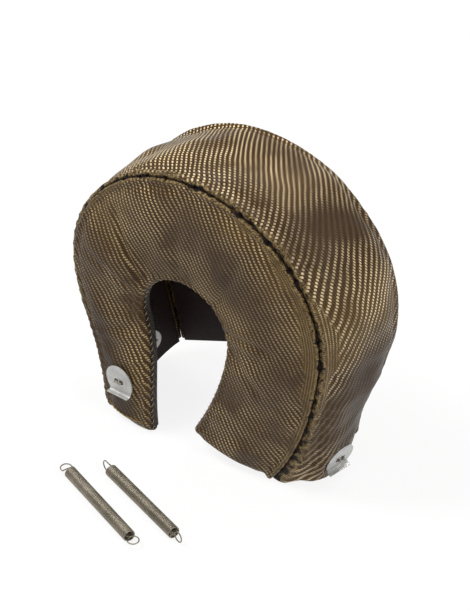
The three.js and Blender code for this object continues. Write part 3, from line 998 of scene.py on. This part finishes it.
def outward(piece: bpy.types.Object) -> None:
    """Turn a closed mesh's faces outwards, by the sign of its volume."""
    mesh = piece.data
    mesh.calc_loop_triangles()
    triangles = np.zeros(len(mesh.loop_triangles) * 3, np.int32)
    mesh.loop_triangles.foreach_get("vertices", triangles)
    places = np.zeros(len(mesh.vertices) * 3, np.float32)
    mesh.vertices.foreach_get("co", places)
    corners = places.reshape(-1, 3)[triangles.reshape(-1, 3)].astype(float)
    if np.einsum("ij,ij->i", corners[:, 0], np.cross(corners[:, 1], corners[:, 2])).sum() < 0:
        mesh.flip_normals()


@dataclass
class Cheek(Panel):
    """A C-shaped side panel between its rim and its seam."""

    side: float = -1.0
    rim: PanelEdge = field(default_factory=lambda: FRONT_RIM)
    seam: PanelEdge = field(default_factory=lambda: FRONT_SEAM)
    roll: float = 7.0
    leg_tuck: float = LEG_TUCK
    toe_tuck: float = TOE_TUCK
    crease: float = 4.0
    crease_at: float = 0.375

    def width(self, t: Array) -> Array:
        """Distance from rim to seam."""
        return np.linalg.norm(self.rim.trace(t)[0] - self.seam.trace(t)[0], axis=-1)

    def puff(self, t: Array, v: Array) -> Array:
        """Pillow that swells along the run, with a radial crease and its ridge on the front cheek."""
        feet = left_footness(t) + right_footness(t)
        wave = np.cos(19 * t) if self.side > 0 else np.sin(21 * t)
        body = PUFF * (1 + 0.12 * wave - 0.25 * feet)
        if self.side > 0:
            return body * pillow(v)
        across = (t - self.crease_at + 0.035 * (v - 0.5)) * 30
        crease = bell(across) - 0.45 * bell(across + 1.8)
        return (body - self.crease * crease) * pillow(v)

    def place(self, t: Array, v: Array, depth: Array, puff: Array) -> Array:
        """Between rim and seam in the XZ plane, and out along Y by the depth, the puff and the leg's roll."""
        rim = self.rim.trace(t)[0][:, None]
        seam, out = (part[:, None] for part in self.seam.trace(t))
        flat = rim + (seam - out * depth[:, None] - rim) * v[..., None]
        base = self.rim_depth(t)[:, None] * (1 - v) + self.seam_depth(t)[:, None] * v
        reach = base + self.puff(t[:, None], v) * puff - depth
        return np.stack([flat[..., 0], self.side * reach, flat[..., 1]], -1)

    def rim_depth(self, t: Array) -> Array:
        """How far out along Y the rim lies: half the depth, and the roll at the left foot."""
        return HALF_DEPTH + self.roll * left_footness(t)

    def seam_depth(self, t: Array) -> Array:
        """How far out along Y the seam lies: half the depth less the tucks at both feet."""
        return tucked(t, self.leg_tuck, self.toe_tuck)

    def relief(self, t: Array, v: Array) -> Array:
        """Folds of the cheek.

        A rolled edge stands up beside the seam, pinched at every stitch, and a lower one beside the rim.
        Short puckers run in from both edges and fade about 14 mm in. Slow uneven relief and the folds
        lie over the middle, and fade within 9 mm of both edges.
        """
        width = self.width(t[:, 0])[:, None]
        rim_off, seam_off = v * width, (1 - v) * width
        run = t * self.run
        pinch = runs(run, 7.4, self.seed)
        edge = Ridge(1.15, 0.14, 2.6, 2.0).relief(seam_off, pinch)
        edge += Ridge(-0.5, -0.15, 7.0, 2.6).relief(seam_off, pinch)
        hem = Ridge(0.45, 0.0, 3.4, 2.0).relief(rim_off, pinch)
        hem += Ridge(-0.35, 0.0, 7.5, 2.4).relief(rim_off, pinch)
        seam_pucker = 0.24 * runs(run + 0.5 * seam_off, 9.5, self.seed + 1) * bell((seam_off - 6) / 8.0)
        rim_pucker = 0.28 * runs(run * 0.6 + 0.4 * rim_off, 8.0, self.seed + 2) * bell((rim_off - 5) / 9.0)
        slow = 0.75 * swell(run, v * self.mean_width, 58, self.seed + 3)
        slow += 0.3 * swell(run, v * self.mean_width, 24, self.seed + 4)
        inner = np.clip(np.minimum(rim_off, seam_off) / 9.0, 0, 1)
        folds = sum(f.relief(t, v, self.run, self.mean_width) for f in self.folds)
        return edge + hem + seam_pucker + rim_pucker + (slow + folds) * inner

    def map(self, t: Array, v: Array, points: Array) -> Array:
        """The flat place in X and Z, so that the weave runs straight over the panel and down its rim."""
        away = self.rim.trace(t[:, 0])[1][:, None]
        return np.stack([points[..., 0], points[..., 2]], -1) - away * self.wall(points, t, v)[..., :1]

    def wall(self, points: Array, t: Array, v: Array) -> Array:
        """How far down the rim's wall a point lies."""
        down = np.maximum(self.rim_depth(t) - self.side * points[..., 1], 0) * smoothstep((0.3 - v) / 0.1)
        return np.stack([down, np.zeros_like(down)], -1)

    def edge(self, t: Array, v: Array) -> Array:
        """Distance from the seam and place along the run."""
        off = (1 - v) * self.width(t[:, 0])[:, None]
        return np.stack([off, np.broadcast_to(t * self.run, off.shape)], -1)

    def sections(self) -> list[Section]:
        """The cover is rounded 3.6 mm at the rim and 2.6 mm into the seam's groove.

        The core is kept about 3 mm inside it. The lining is a thin cloth over the back.
        """
        return [
            Section(3.6, 2.6, 0.0, 0.12, 0.0, COVER_BACK),
            Section(1.5, 1.5, 4.5, 7.0, 3.4, CORE_BACK, 24, 8),
            Section(0.3, 0.3, 1.8, 2.6, LINING_FACE, LINING_BACK, 60, 30, 0.3),
        ]


@dataclass
class Band(Panel):
    """The strip round the circumference, between the two seams."""

    dents: list[tuple[float, float, float]] = field(default_factory=list)

    def width(self, t: Array) -> Array:
        """Always the depth between the seams."""
        return np.full(len(t), 2 * HALF_DEPTH)

    def place(self, t: Array, v: Array, depth: Array, puff: Array) -> Array:
        """Between the two seams, bowed outwards by the sag, the right toe's flare and the puff."""
        front, front_out = (part[:, None] for part in FRONT_SEAM.trace(t))
        rear, rear_out = (part[:, None] for part in REAR_SEAM.trace(t))
        q = v[..., None]
        out = unit(front_out + (rear_out - front_out) * q)
        body = (PUFF * (1 + 0.14 * np.sin(27 * t + 1)))[:, None]
        crown = pillow(v, 0.8 * right_footness(t)[:, None])
        bow = (band_sag(t)[:, None] + body * puff) * crown - depth
        flat = front + (rear - front) * q + out * bow[..., None]
        y = (depth - tucked(t, LEG_TUCK, TOE_TUCK)[:, None]) * (1 - v) + (HALF_DEPTH - depth) * v
        return np.stack([flat[..., 0], y, flat[..., 1]], -1)

    def relief(self, t: Array, v: Array) -> Array:
        """Folds of the band.

        A rolled welt stands up beside each seam, pinched at every stitch. Puckers run in from both seams.
        Dents across the band, folds and slow uneven relief fade within 10 mm of both seams.
        """
        width = 2 * HALF_DEPTH
        near, far = v * width, (1 - v) * width
        run = t * self.run
        total = np.zeros_like(v)
        for off, seed, share in ((near, self.seed, 1.0), (far, self.seed + 9, 0.25)):
            pinch = runs(run, 7.0, seed) * share * 0.5
            total += Ridge(0.4 + 1.3 * share, 0.22, 2.9, 2.0).relief(off, pinch)
            total += Ridge(-0.9, -0.15, 7.6, 2.6).relief(off, pinch)
            total += 0.26 * share * runs(run - 0.6 * off, 10.5, seed + 1) * bell((off - 8) / 9.0)
        inner = np.clip(np.minimum(near, far) / 10.0, 0, 1)
        slow = 1.2 * swell(run, v * width, 66, self.seed + 3)
        slow += 0.45 * swell(run, v * width, 26, self.seed + 4)
        middle = 0.6 + 0.4 * np.sin(np.pi * v)
        dents = sum(-deep * bell((t - at) / wide) * middle for at, wide, deep in self.dents)
        folds = sum(f.relief(t, v, self.run, width) for f in self.folds)
        return total + (slow + folds + dents) * inner

    def map(self, t: Array, v: Array, points: Array) -> Array:
        """Cloth map whose weave turns slowly along the run.

        At run length s, the weave's angle goes from 126 degrees over the top to 160 at the right. The
        middle line's map is the integral of the angle's cosine and sine over s, and a place off that line
        lies square to it. The cloth is drawn out along its floats over the top, and across them at the right.
        """
        s = t[:, 0] * self.run
        angle = np.radians(126 + 34 * smoothstep((t[:, 0] - 0.45) / 0.4)) * -1
        step = np.gradient(s)
        along = 0.6 + 0.4 * smoothstep((t[:, 0] - 0.48) / 0.14)
        apart = 1 - 0.36 * smoothstep((t[:, 0] - 0.52) / 0.14)
        scale = np.stack([along, apart], -1)
        line = np.cumsum(np.stack([np.cos(angle), np.sin(angle)], -1) * scale * step[:, None], axis=0)
        across = np.stack([-np.sin(angle), np.cos(angle)], -1) * scale
        return line[:, None] + across[:, None] * ((v - 0.5) * 2 * HALF_DEPTH)[..., None]

    def edge(self, t: Array, v: Array) -> Array:
        """Distance from the nearer seam, the rear one counted 2.2 mm further, and place along the run."""
        off = np.minimum(v * 2 * HALF_DEPTH, (1 - v) * 2 * HALF_DEPTH + 2.2)
        return np.stack([off, np.broadcast_to(t * self.run, off.shape)], -1)

    def cut(self, lining: bpy.types.Object) -> tuple[float, float, float]:
        """A straight strip: its width, and the length that gives its area."""
        area = sum(face.area for face in lining.data.polygons) / 2
        width = 2 * HALF_DEPTH * MM
        return width, float(area / width * 1.03), float(area)

    def sections(self) -> list[Section]:
        """The cover is rounded 2.6 mm into both grooves, the core and the lining as in a cheek."""
        return [
            Section(2.6, 2.6, 0.12, 0.12, 0.0, COVER_BACK, 104, 20),
            Section(1.5, 1.5, 7.0, 7.0, 3.6, CORE_BACK, 24, 8),
            Section(0.3, 0.3, 2.6, 2.6, LINING_FACE, LINING_BACK, 60, 30, 0.3),
        ]


@dataclass
class Stitching:
    """Rows of single stitches, each a short sagging length of thread."""

    length: float = 5.2
    gap: float = 1.9
    radius: float = 0.62
    sag: float = 0.9

    def row(
        self,
        name: str,
        path: Array,
        normal: Array,
        material: bpy.types.Material,
        slant: float = 0.0,
        under: float = 0.0,
    ) -> bpy.types.Object:
        """One object with all stitches of a row.

        Along the path's length, stitch k starts near k times the pitch. Its height over the path is the
        sag times a number: the sine of pi times the way along it, to the power 0.6, less 0.75. So its
        middle stands highest and its ends dive into the cloth.

        Args:
            name: The piece's name.
            path: Points along the seam, (n, 3).
            normal: The way out of the cloth at each, (n, 3).
            material: The thread.
            slant: How far a stitch's ends lean to opposite sides of the row.
            under: Radius of the locking thread that runs on below the stitches, if any.

        Returns:
            The row's object.
        """
        step = np.linalg.norm(np.diff(path, axis=0), axis=1)
        length = np.r_[0, np.cumsum(step)]
        pitch = self.length + self.gap
        count = int((length[-1] - 2) / pitch)
        rng = np.random.default_rng(5)
        begin = 1.0 + np.arange(count) * pitch + rng.uniform(-0.4, 0.4, count)
        cuts, sides = 7, 6
        u = np.linspace(0, 1, cuts)
        at = begin[:, None] + u * self.length * rng.uniform(0.85, 1.08, count)[:, None]
        centre, up = (
            np.stack([np.interp(at, length, row[:, k]) for k in range(3)], -1) for row in (path, normal)
        )
        up = unit(up)
        way = unit(np.gradient(centre, axis=1))
        side = unit(np.cross(way, up))
        lift = self.sag * (np.sin(np.pi * u) ** 0.6 - 0.75)
        centre = centre + up * lift[None, :, None] + side * ((u - 0.5) * slant)[None, :, None]
        thick = self.radius * (0.7 + 0.3 * np.sin(np.pi * u))
        cos, sin = circle(sides)[..., None]
        ring = cos * up[:, :, None] + sin * side[:, :, None]
        points = (centre[:, :, None] + ring * thick[None, :, None, None]).reshape(-1, 3)
        first = (np.arange(count) * cuts * sides)[:, None, None]
        faces = [(f[None] + first).reshape(-1, f.shape[1]) for f in MeshKit.tube_faces(cuts, sides)]
        if under:
            low = path - unit(normal) * (under + self.radius)
            faces += MeshKit.tube_faces(len(low), sides, len(points))
            points = np.vstack([points, MeshKit.tube(low, under, sides)])
        made = MeshKit.mesh(name, points, faces, material)
        outward(made)
        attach(made, "root")
        return made


@dataclass
class HookDisc:
    """A round pressed plate, its lower segment folded up into a hook lip, tied down by a wire staple."""

    radius: float = 12.3
    wall: float = 0.9
    chord: float = 7.6
    lip_radius: float = 1.6
    lip_height: float = 4.2
    span: float = 5.0
    wire: float = 1.3

    def profile(self, rows: int, columns: int) -> Array:
        """Middle surface of plate and lip, (rows, columns, 3).

        Each row is a chord across the disc at y, from -x to x with x the half chord. Past the fold line
        y no longer falls: the row climbs round the lip's bend and up its face.
        """
        heel = self.lip_radius + self.wall / 2
        bend = heel * np.pi / 2
        plate, lip = self.radius + self.chord, bend + self.lip_height - heel
        share, on_plate = np.linspace(0.0, 1.0, rows), 0.72
        s = plate * np.minimum(share / on_plate, 1) + lip * np.maximum(share - on_plate, 0) / (1 - on_plate)
        drop = np.minimum(s, plate)
        past = np.maximum(s - plate, 0)
        angle = np.minimum(past / heel, np.pi / 2)
        top = self.radius * 0.999
        y = top - drop - heel * np.sin(angle)
        z = heel * (1 - np.cos(angle)) + np.maximum(past - bend, 0)
        level = np.maximum(top - drop, -self.chord)
        half_plate = np.sqrt(np.maximum(self.radius**2 - level**2, 0.02))
        u = np.linspace(-1, 1, columns)
        x = half_plate[:, None] * u
        return np.stack([x, np.broadcast_to(y[:, None], x.shape), np.broadcast_to(z[:, None], x.shape)], -1)

    def build(self, seat: Seat) -> list[bpy.types.Object]:
        """Plate, staple and washer on one seat."""
        plate_metal = Stainless(f"{seat.name}_steel", Polish.PRESSED, self.span / 2).material()
        back_metal = Stainless(f"{seat.name}_back", Polish.PRESSED).material()
        wire_metal = Stainless(f"{seat.name}_wire", Polish.DRAWN).material()
        rows, columns = 64, 44
        middle = self.profile(rows, columns) + np.array([0, 0, self.wall / 2])
        crown = 0.35 * (1 - (middle[..., 0] ** 2 + middle[..., 1] ** 2) / self.radius**2).clip(0, 1)
        middle[..., 2] += crown * (middle[..., 1] > -self.chord)
        index = np.arange(rows * columns).reshape(rows, columns)
        quads = np.stack([index[:-1, :-1], index[:-1, 1:], index[1:, 1:], index[1:, :-1]], -1).reshape(-1, 4)
        plate = MeshKit.mesh(
            f"{seat.name}_plate",
            seat.world(middle.reshape(-1, 3)),
            [quads],
            plate_metal,
            {"plate": middle[..., :2].reshape(-1, 2)},
        )
        wall = plate.modifiers.new("wall", "SOLIDIFY")
        wall.thickness = self.wall * MM
        wall.offset = 0.0
        edge = plate.modifiers.new("edge", "BEVEL")
        edge.width = 0.22 * MM
        edge.segments = 2
        edge.limit_method = "ANGLE"
        edge.angle_limit = np.radians(50)
        pieces = [plate, self.staple(seat, wire_metal), self.washer(seat, back_metal)]
        finishes = {"hook_disc": "stainless_sheet", "staple": "staple_wire", "washer": "stainless_sheet"}
        for piece, (node, finish) in zip(pieces, finishes.items()):
            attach(piece, "root")
            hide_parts(f"{seat.name}_{node}")
        return pieces

    def staple(self, seat: Seat, material: bpy.types.Material) -> bpy.types.Object:
        """Wire crown bridging the two holes, with legs through the wall, clinched below."""
        half = self.span / 2
        top = self.wall + 0.85 + self.wire / 2
        foot = -(seat.wall + 1.3 + self.wire / 2)
        knots = np.array(
            [
                [-half + 2.2, 0.0, foot],
                [-half + 0.3, 0.0, foot],
                [-half, 0.0, foot + 0.8],
                [-half, 0.0, top - 1.3],
                [-half + 0.5, 0.15, top - 0.2],
                [-0.8, 0.55, top + 0.15],
                [0.9, -0.45, top + 0.1],
                [half - 0.5, -0.1, top - 0.2],
                [half, 0.0, top - 1.3],
                [half, 0.0, foot + 0.8],
                [half - 0.3, 0.0, foot],
                [half - 2.2, 0.0, foot],
            ]
        )
        path = rounded(knots, 5)
        points = seat.world(MeshKit.tube(path, self.wire / 2, 10))
        made = MeshKit.mesh(f"{seat.name}_tie", points, MeshKit.tube_faces(len(path), 10), material)
        outward(made)
        return made

    def washer(self, seat: Seat, material: bpy.types.Material) -> bpy.types.Object:
        """Round backing plate with a rounded edge, as rings round its axis."""
        radius, wall = 8.0, 1.0
        hub, flat, turn = 0.4, 1.0, 0.3
        half = [[hub, 0.0], [radius - flat, 0.0], [radius - turn, 0.05], [radius, 0.35]]
        profile = np.array(half + [[across, wall - up] for across, up in half[::-1]])
        sides = 40
        points = seat.world(MeshKit.lathe(profile - [0, seat.wall + wall], sides))
        faces = MeshKit.tube_faces(len(profile), sides)
        made = MeshKit.mesh(f"{seat.name}_backing", points, faces, material, None, False)
        outward(made)
        return made


def rounded(knots: Array, cuts: int) -> Array:
    """A smooth line through knots: Catmull-Rom, with each stretch cut into equal parts."""
    p = np.vstack([2 * knots[0] - knots[1], knots, 2 * knots[-1] - knots[-2]])
    u = np.linspace(0, 1, cuts, endpoint=False)[:, None]
    a, b, c, d = (p[k : len(p) - 3 + k][:, None] for k in range(4))
    line = 0.5 * (2 * b + (c - a) * u + (2 * a - 5 * b + 4 * c - d) * u**2 + (3 * b - a - 3 * c + d) * u**3)
    return np.vstack([line.reshape(-1, 3), knots[-1]])


@dataclass
class ExtensionSpring:
    """A close-wound spring with a full loop at each end, lying on the floor."""

    name: str
    x: float
    y: float
    heading: float
    roll: float
    coil: float = 4.05
    wire: float = 0.9
    turns: int = 83
    pitch: float = 0.94

    def path(self) -> Array:
        """Wire line along X.

        The body is a helix of the coil's radius that climbs one pitch a turn. A loop is an arc of 305
        degrees of the same radius beyond each end, in the plane through the axis, joined by a smooth line.
        """
        length = self.turns * self.pitch
        angle = np.linspace(0, 2 * np.pi * self.turns, self.turns * 20 + 1)
        climb = angle / (2 * np.pi) * self.pitch - length / 2
        body = np.stack([climb, np.sin(angle) * self.coil, np.cos(angle) * self.coil], -1)
        sweep = np.radians(108 - 305 * np.linspace(0, 1, 44))
        reach = length / 2 + self.coil + self.wire / 2
        last = np.stack([reach + np.cos(sweep) * self.coil, 0 * sweep, np.sin(sweep) * self.coil], -1)
        first = last[::-1] * [-1, 1, 1]
        start, end = self.bridge(first[-1], body[6]), self.bridge(body[-7], last[0])
        return np.vstack([first, start, body[7:-7], end, last])

    @staticmethod
    def bridge(a: Array, b: Array) -> Array:
        """A few points between the loop's end and the coil."""
        u = np.linspace(0, 1, 6)[1:-1][:, None]
        return a + (b - a) * u

    def build(self) -> bpy.types.Object:
        """The spring, rolled about its axis, turned to its heading and set on the floor."""
        heading = Matrix.Rotation(np.radians(self.heading), 3, "Z")
        roll = Matrix.Rotation(np.radians(self.roll), 3, "X")
        path = self.path() @ np.array(heading @ roll).T
        points = MeshKit.tube(path, self.wire / 2, 8)
        points += np.array([self.x, self.y, -SOLE_DROP - points[:, 2].min()])
        steel = Stainless(f"{self.name}_steel", Polish.DRAWN).material()
        made = MeshKit.mesh(f"{self.name}_wire", points, MeshKit.tube_faces(len(path), 8), steel)
        outward(made)
        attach(made, "root")
        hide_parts(self.name)
        return made


class Blanket:
    """The whole horseshoe: both cheeks, the band, their stitching and the four hook discs."""

    def __init__(self) -> None:
        """Lay out the three panels and the four seats."""
        cheek_cloth = {"column": 3.4, "step": 2.1, "float_highlight": rgb(192, 168, 120), "hem_reach": 7.0}
        self.panels: dict[str, Panel] = {
            "front_cheek": Cheek(
                "front_cheek",
                Weave("front_weave", 90 - 121.6, **cheek_cloth),
                seed=11,
                folds=[
                    Fold((0.36, 0.1), (0.385, 0.75), 1.2, 3.6),
                    Fold((0.31, 0.15), (0.30, 0.7), 0.7, 4.0),
                    Fold((0.62, 0.1), (0.60, 0.6), 0.9, 4.5),
                    Fold((0.70, 0.05), (0.74, 0.5), 1.0, 4.0),
                    Fold((0.76, 0.05), (0.82, 0.45), 0.9, 3.6),
                    Fold((0.20, 0.2), (0.17, 0.8), 0.7, 4.5),
                    Fold((0.50, 0.15), (0.49, 0.8), 0.5, 5.0),
                ],
                # Spots of painted shade (amount above 0) and painted highlight (below 0).
                light_and_shade_spots=[
                    (0.62, 0.5, 60, 22, 0.75),
                    (0.80, 0.6, 40, 20, 0.5),
                    (0.06, 0.66, 60, 21, 1.0),
                    (0.20, 0.75, 45, 18, 0.7),
                    (0.10, 0.25, 50, 8, -0.3),
                    (0.42, 0.25, 40, 14, 0.5),
                    (0.38, 0.8, 50, 22, -0.6),
                    (0.56, 0.85, 50, 14, -0.5),
                    (0.74, 0.2, 40, 12, -0.45),
                ],
            ),
            "rear_cheek": Cheek(
                "rear_cheek",
                Weave("rear_weave", 90 - 58.4, **cheek_cloth),
                side=1.0,
                rim=REAR_RIM,
                seam=REAR_SEAM,
                roll=0.0,
                leg_tuck=0.0,
                toe_tuck=0.0,
                seed=31,
                folds=[
                    Fold((0.30, 0.1), (0.27, 0.7), 1.0, 4.0),
                    Fold((0.55, 0.1), (0.57, 0.8), 0.9, 4.5),
                    Fold((0.68, 0.1), (0.70, 0.7), 0.8, 4.0),
                    Fold((0.80, 0.2), (0.84, 0.8), 0.7, 4.5),
                ],
            ),
            "band": Band(
                "band",
                Weave("band_weave", 90.0),
                seed=51,
                run=620.0,
                mean_width=78.0,
                dents=[
                    (0.615, 0.022, 3.2),
                    (0.675, 0.016, -1.4),
                    (0.74, 0.02, 1.8),
                    (0.52, 0.03, 1.2),
                    (0.40, 0.025, 1.6),
                ],
                # Spots of painted shade (amount above 0) and painted highlight (below 0).
                light_and_shade_spots=[
                    (0.612, 0.42, 15, 28, 1.0),
                    (0.628, 0.7, 12, 22, 0.8),
                    (0.69, 0.55, 26, 34, -0.6),
                    (0.92, 0.6, 95, 42, 1.0),
                    (0.80, 0.6, 36, 30, 0.7),
                    (0.97, 0.12, 40, 12, -0.7),
                    (0.43, 0.5, 80, 40, -0.5),
                    (0.52, 0.75, 26, 12, 0.5),
                ],
            ),
        }
        for name, panel in (
            ("front_left", "front_cheek"),
            ("rear_right", "rear_cheek"),
            ("band_right", "band"),
            ("band_left", "band"),
        ):
            self.panels[panel].seats.append(self.seat(name))

    @staticmethod
    def seat(name: str) -> Seat:
        """Seat of one disc, read from its solids.

        The way out is the washer's thinnest direction, towards the disc. The lip's middle gives the way
        down, and the disc's lowest face the height.
        """
        disc, washer = (
            np.array([v.co for v in bpy.data.objects[f"{name}_{part}"].data.vertices]) / MM
            for part in ("hook_disc", "washer")
        )
        middle = (washer.min(0) + washer.max(0)) / 2
        out = np.linalg.svd(washer - washer.mean(0))[2][2]
        out = out * np.sign(np.dot(out, disc.mean(0) - middle))
        height = (disc - middle) @ out
        lip = disc[height > height.min() + 2.5].mean(0) - middle
        up = -unit(lip - out * np.dot(lip, out))
        low, under = height.min(), ((washer - middle) @ out).max()
        centre = middle + out * low
        LOG.info("seat %s at %s", name, np.round(centre, 1))
        return Seat(name, centre, np.stack([np.cross(up, out), up, out]), low - under)

    def build(self) -> list[bpy.types.Object]:
        """Every piece of the blanket."""
        made: list[bpy.types.Object] = []
        for panel in self.panels.values():
            pieces = panel.build()
            LOG.info("%s: %s", panel.name, ", ".join(p.name for p in pieces))
            made += pieces
            for seat in panel.seats:
                made += HookDisc().build(seat)
                LOG.info("hook disc %s", seat.name)
        return made + self.stitch()

    def stitch(self) -> list[bpy.types.Object]:
        """Seam, rim and hem stitching."""
        dark = Thread("seam_thread", rgb(52, 38, 34), rgb(16, 11, 10))
        pale = Thread("hem_thread", rgb(196, 170, 110), rgb(120, 96, 56))
        beige = Thread("rim_thread", rgb(212, 202, 178), rgb(120, 104, 76))
        t = np.linspace(0.001, 0.999, 900)
        made = []
        for cheek, name in ((self.panels["front_cheek"], "front"), (self.panels["rear_cheek"], "rear")):
            seam, out = cheek.seam.trace(t)
            flat = seam - out * 1.3
            path = np.stack([flat[:, 0], cheek.side * (cheek.seam_depth(t) - 1.3), flat[:, 1]], -1)
            normal = unit(np.stack([out[:, 0], np.full(len(t), cheek.side), out[:, 1]], -1))
            size = Stitching(6.4, 1.5, 0.85, 0.9) if cheek.side < 0 else Stitching(6.0, 1.6, 0.6, 0.6)
            row = size.row(f"{name}_seam_stitches", path, normal, dark.material(), 0.6, 0.75)
            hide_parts(f"{name}_seam_thread")
            rim, rim_out = cheek.rim.trace(t)
            inner = np.stack([rim[:, 0], cheek.side * (cheek.rim_depth(t) - 2.6), rim[:, 1]], -1)
            away = unit(np.stack([-rim_out[:, 0], np.full(len(t), 0.5 * cheek.side), -rim_out[:, 1]], -1))
            tick = Stitching(2.4, 2.6, 0.4, 0.7)
            ticks = tick.row(f"{name}_rim_stitches", inner, away, beige.material(), 2.0)
            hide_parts(f"{name}_rim_thread")
            made += [row, ticks]
        hem = self.hem("left_hem_stitches", pale.material())
        return made + [hem]

    def hem(self, name: str, material: bpy.types.Material) -> bpy.types.Object:
        """Chain stitch along the front cheek's left foot, about 7 mm above its edge."""
        cheek = self.panels["front_cheek"]
        section = cheek.sections()[0]
        points, t, _ = cheek.grid(section, cheek.stations, True)
        row = int(np.searchsorted(t[:, 0] * cheek.run, 7.5))
        path = points[row, 3 : section.face_cells - 3]
        way = np.gradient(points, axis=0)[row, 3 : section.face_cells - 3]
        normal = unit(np.cross(way, np.gradient(path, axis=0)))
        normal *= -np.sign(normal[:, 1:2].mean())
        return Stitching(3.0, 0.5, 0.42, 0.5).row(name, path + normal * 0.3, normal, material, 1.0)


@dataclass
class Studio:
    """Camera at the photograph's angle, a pale floor and soft lamps."""

    aim: tuple[float, float, float] = (0.01006, -0.00769, -0.01471)
    way: tuple[float, float, float] = (0.4514, -0.6258, 0.6361)
    distance: float = 3.0
    angle: float = 7.904

    def build(self) -> None:
        """Camera, floor, lamps and world."""
        scene = bpy.context.scene
        scene.view_settings.view_transform = "Standard"
        aim, way = Vector(self.aim), Vector(self.way).normalized()
        camera = bpy.data.objects.new("camera", bpy.data.cameras.new("camera"))
        camera.data.sensor_fit = "VERTICAL"
        camera.data.sensor_height = 36.0
        camera.data.lens = 18.0 / np.tan(np.radians(self.angle / 2))
        camera.data.clip_start, camera.data.clip_end = 0.05, 50.0
        camera.location = aim + way * self.distance
        camera.rotation_euler = (-way).to_track_quat("-Z", "Y").to_euler()
        scene.collection.objects.link(camera)
        scene.camera = camera
        self.floor()
        self.lamp("key", (-0.62, -0.35, 1.2), 0.55, 18.0)
        self.lamp("right", (1.15, -0.2, 0.75), 0.4, 8.0)
        self.lamp("back", (0.15, 0.9, 1.1), 0.6, 9.0)
        self.world(scene)

    def lamp(self, name: str, place: tuple[float, float, float], size: float, power: float) -> None:
        """A square area lamp aimed at the object's middle."""
        data = bpy.data.lights.new(name, "AREA")
        data.size = size
        data.energy = power
        made = bpy.data.objects.new(name, data)
        made.location = place
        made.rotation_euler = (-Vector(place)).to_track_quat("-Z", "Y").to_euler()
        bpy.context.scene.collection.objects.link(made)

    def floor(self) -> None:
        """A round pale floor that looks white where no shadow falls."""
        sides, height = 96, -SOLE_DROP - 0.02
        profile = np.array([[radius, height] for radius in (0.1, 300.0, 1000.0, 3000.0)])
        s = Shader("floor")
        path = s.node("ShaderNodeLightPath")
        seen = (
            Value(s, path.outputs["Is Camera Ray"])
            + Value(s, path.outputs["Is Glossy Ray"])
            + Value(s, path.outputs["Is Transmission Ray"])
        ).clamped()
        diffuse = s.node("ShaderNodeBsdfDiffuse", None, {"Color": (0.86, 0.86, 0.86, 1)}).outputs[0]
        glow = s.node("ShaderNodeEmission", None, {"Color": (1, 1, 1, 1), "Strength": 1.0}).outputs[0]
        mixed = s.node("ShaderNodeMixShader", None, {0: seen * 0.86, 1: diffuse, 2: glow}).outputs[0]
        s.node("ShaderNodeOutputMaterial", None, {"Surface": mixed})
        faces = [f[:, ::-1] for f in MeshKit.tube_faces(len(profile), sides)[:2]]
        made = MeshKit.mesh("floor", MeshKit.lathe(profile, sides), faces, s.material, None, False)

    def world(self, scene: bpy.types.Scene) -> None:
        """White where the camera sees it, a soft warm light elsewhere."""
        scene.world = bpy.data.worlds.new("studio")
        s = Shader("studio", scene.world)
        path = s.node("ShaderNodeLightPath")
        light = {"Color": (1.0, 0.97, 0.92, 1), "Strength": 0.3}
        lit = s.node("ShaderNodeBackground", None, light).outputs[0]
        seen = s.node("ShaderNodeBackground", None, {"Color": (1, 1, 1, 1), "Strength": 1.0}).outputs[0]
        parts = {0: path.outputs["Is Camera Ray"], 1: lit, 2: seen}
        mixed = s.node("ShaderNodeMixShader", None, parts).outputs[0]
        s.node("ShaderNodeOutputWorld", None, {"Surface": mixed})


def main() -> None:
    """Build the blanket, the springs and the studio."""
    logging.basicConfig(level=logging.INFO, format="%(message)s")
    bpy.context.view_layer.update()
    Studio().build()
    pieces = Blanket().build()
    for spring in (
        ExtensionSpring("spring_1", -16, -129, -21.5, 90),
        ExtensionSpring("spring_2", 6, -110, -19.5, 0),
    ):
        pieces.append(spring.build())
        LOG.info("spring %s", spring.name)
    bpy.context.view_layer.update()


if __name__ == "__main__":
    main()
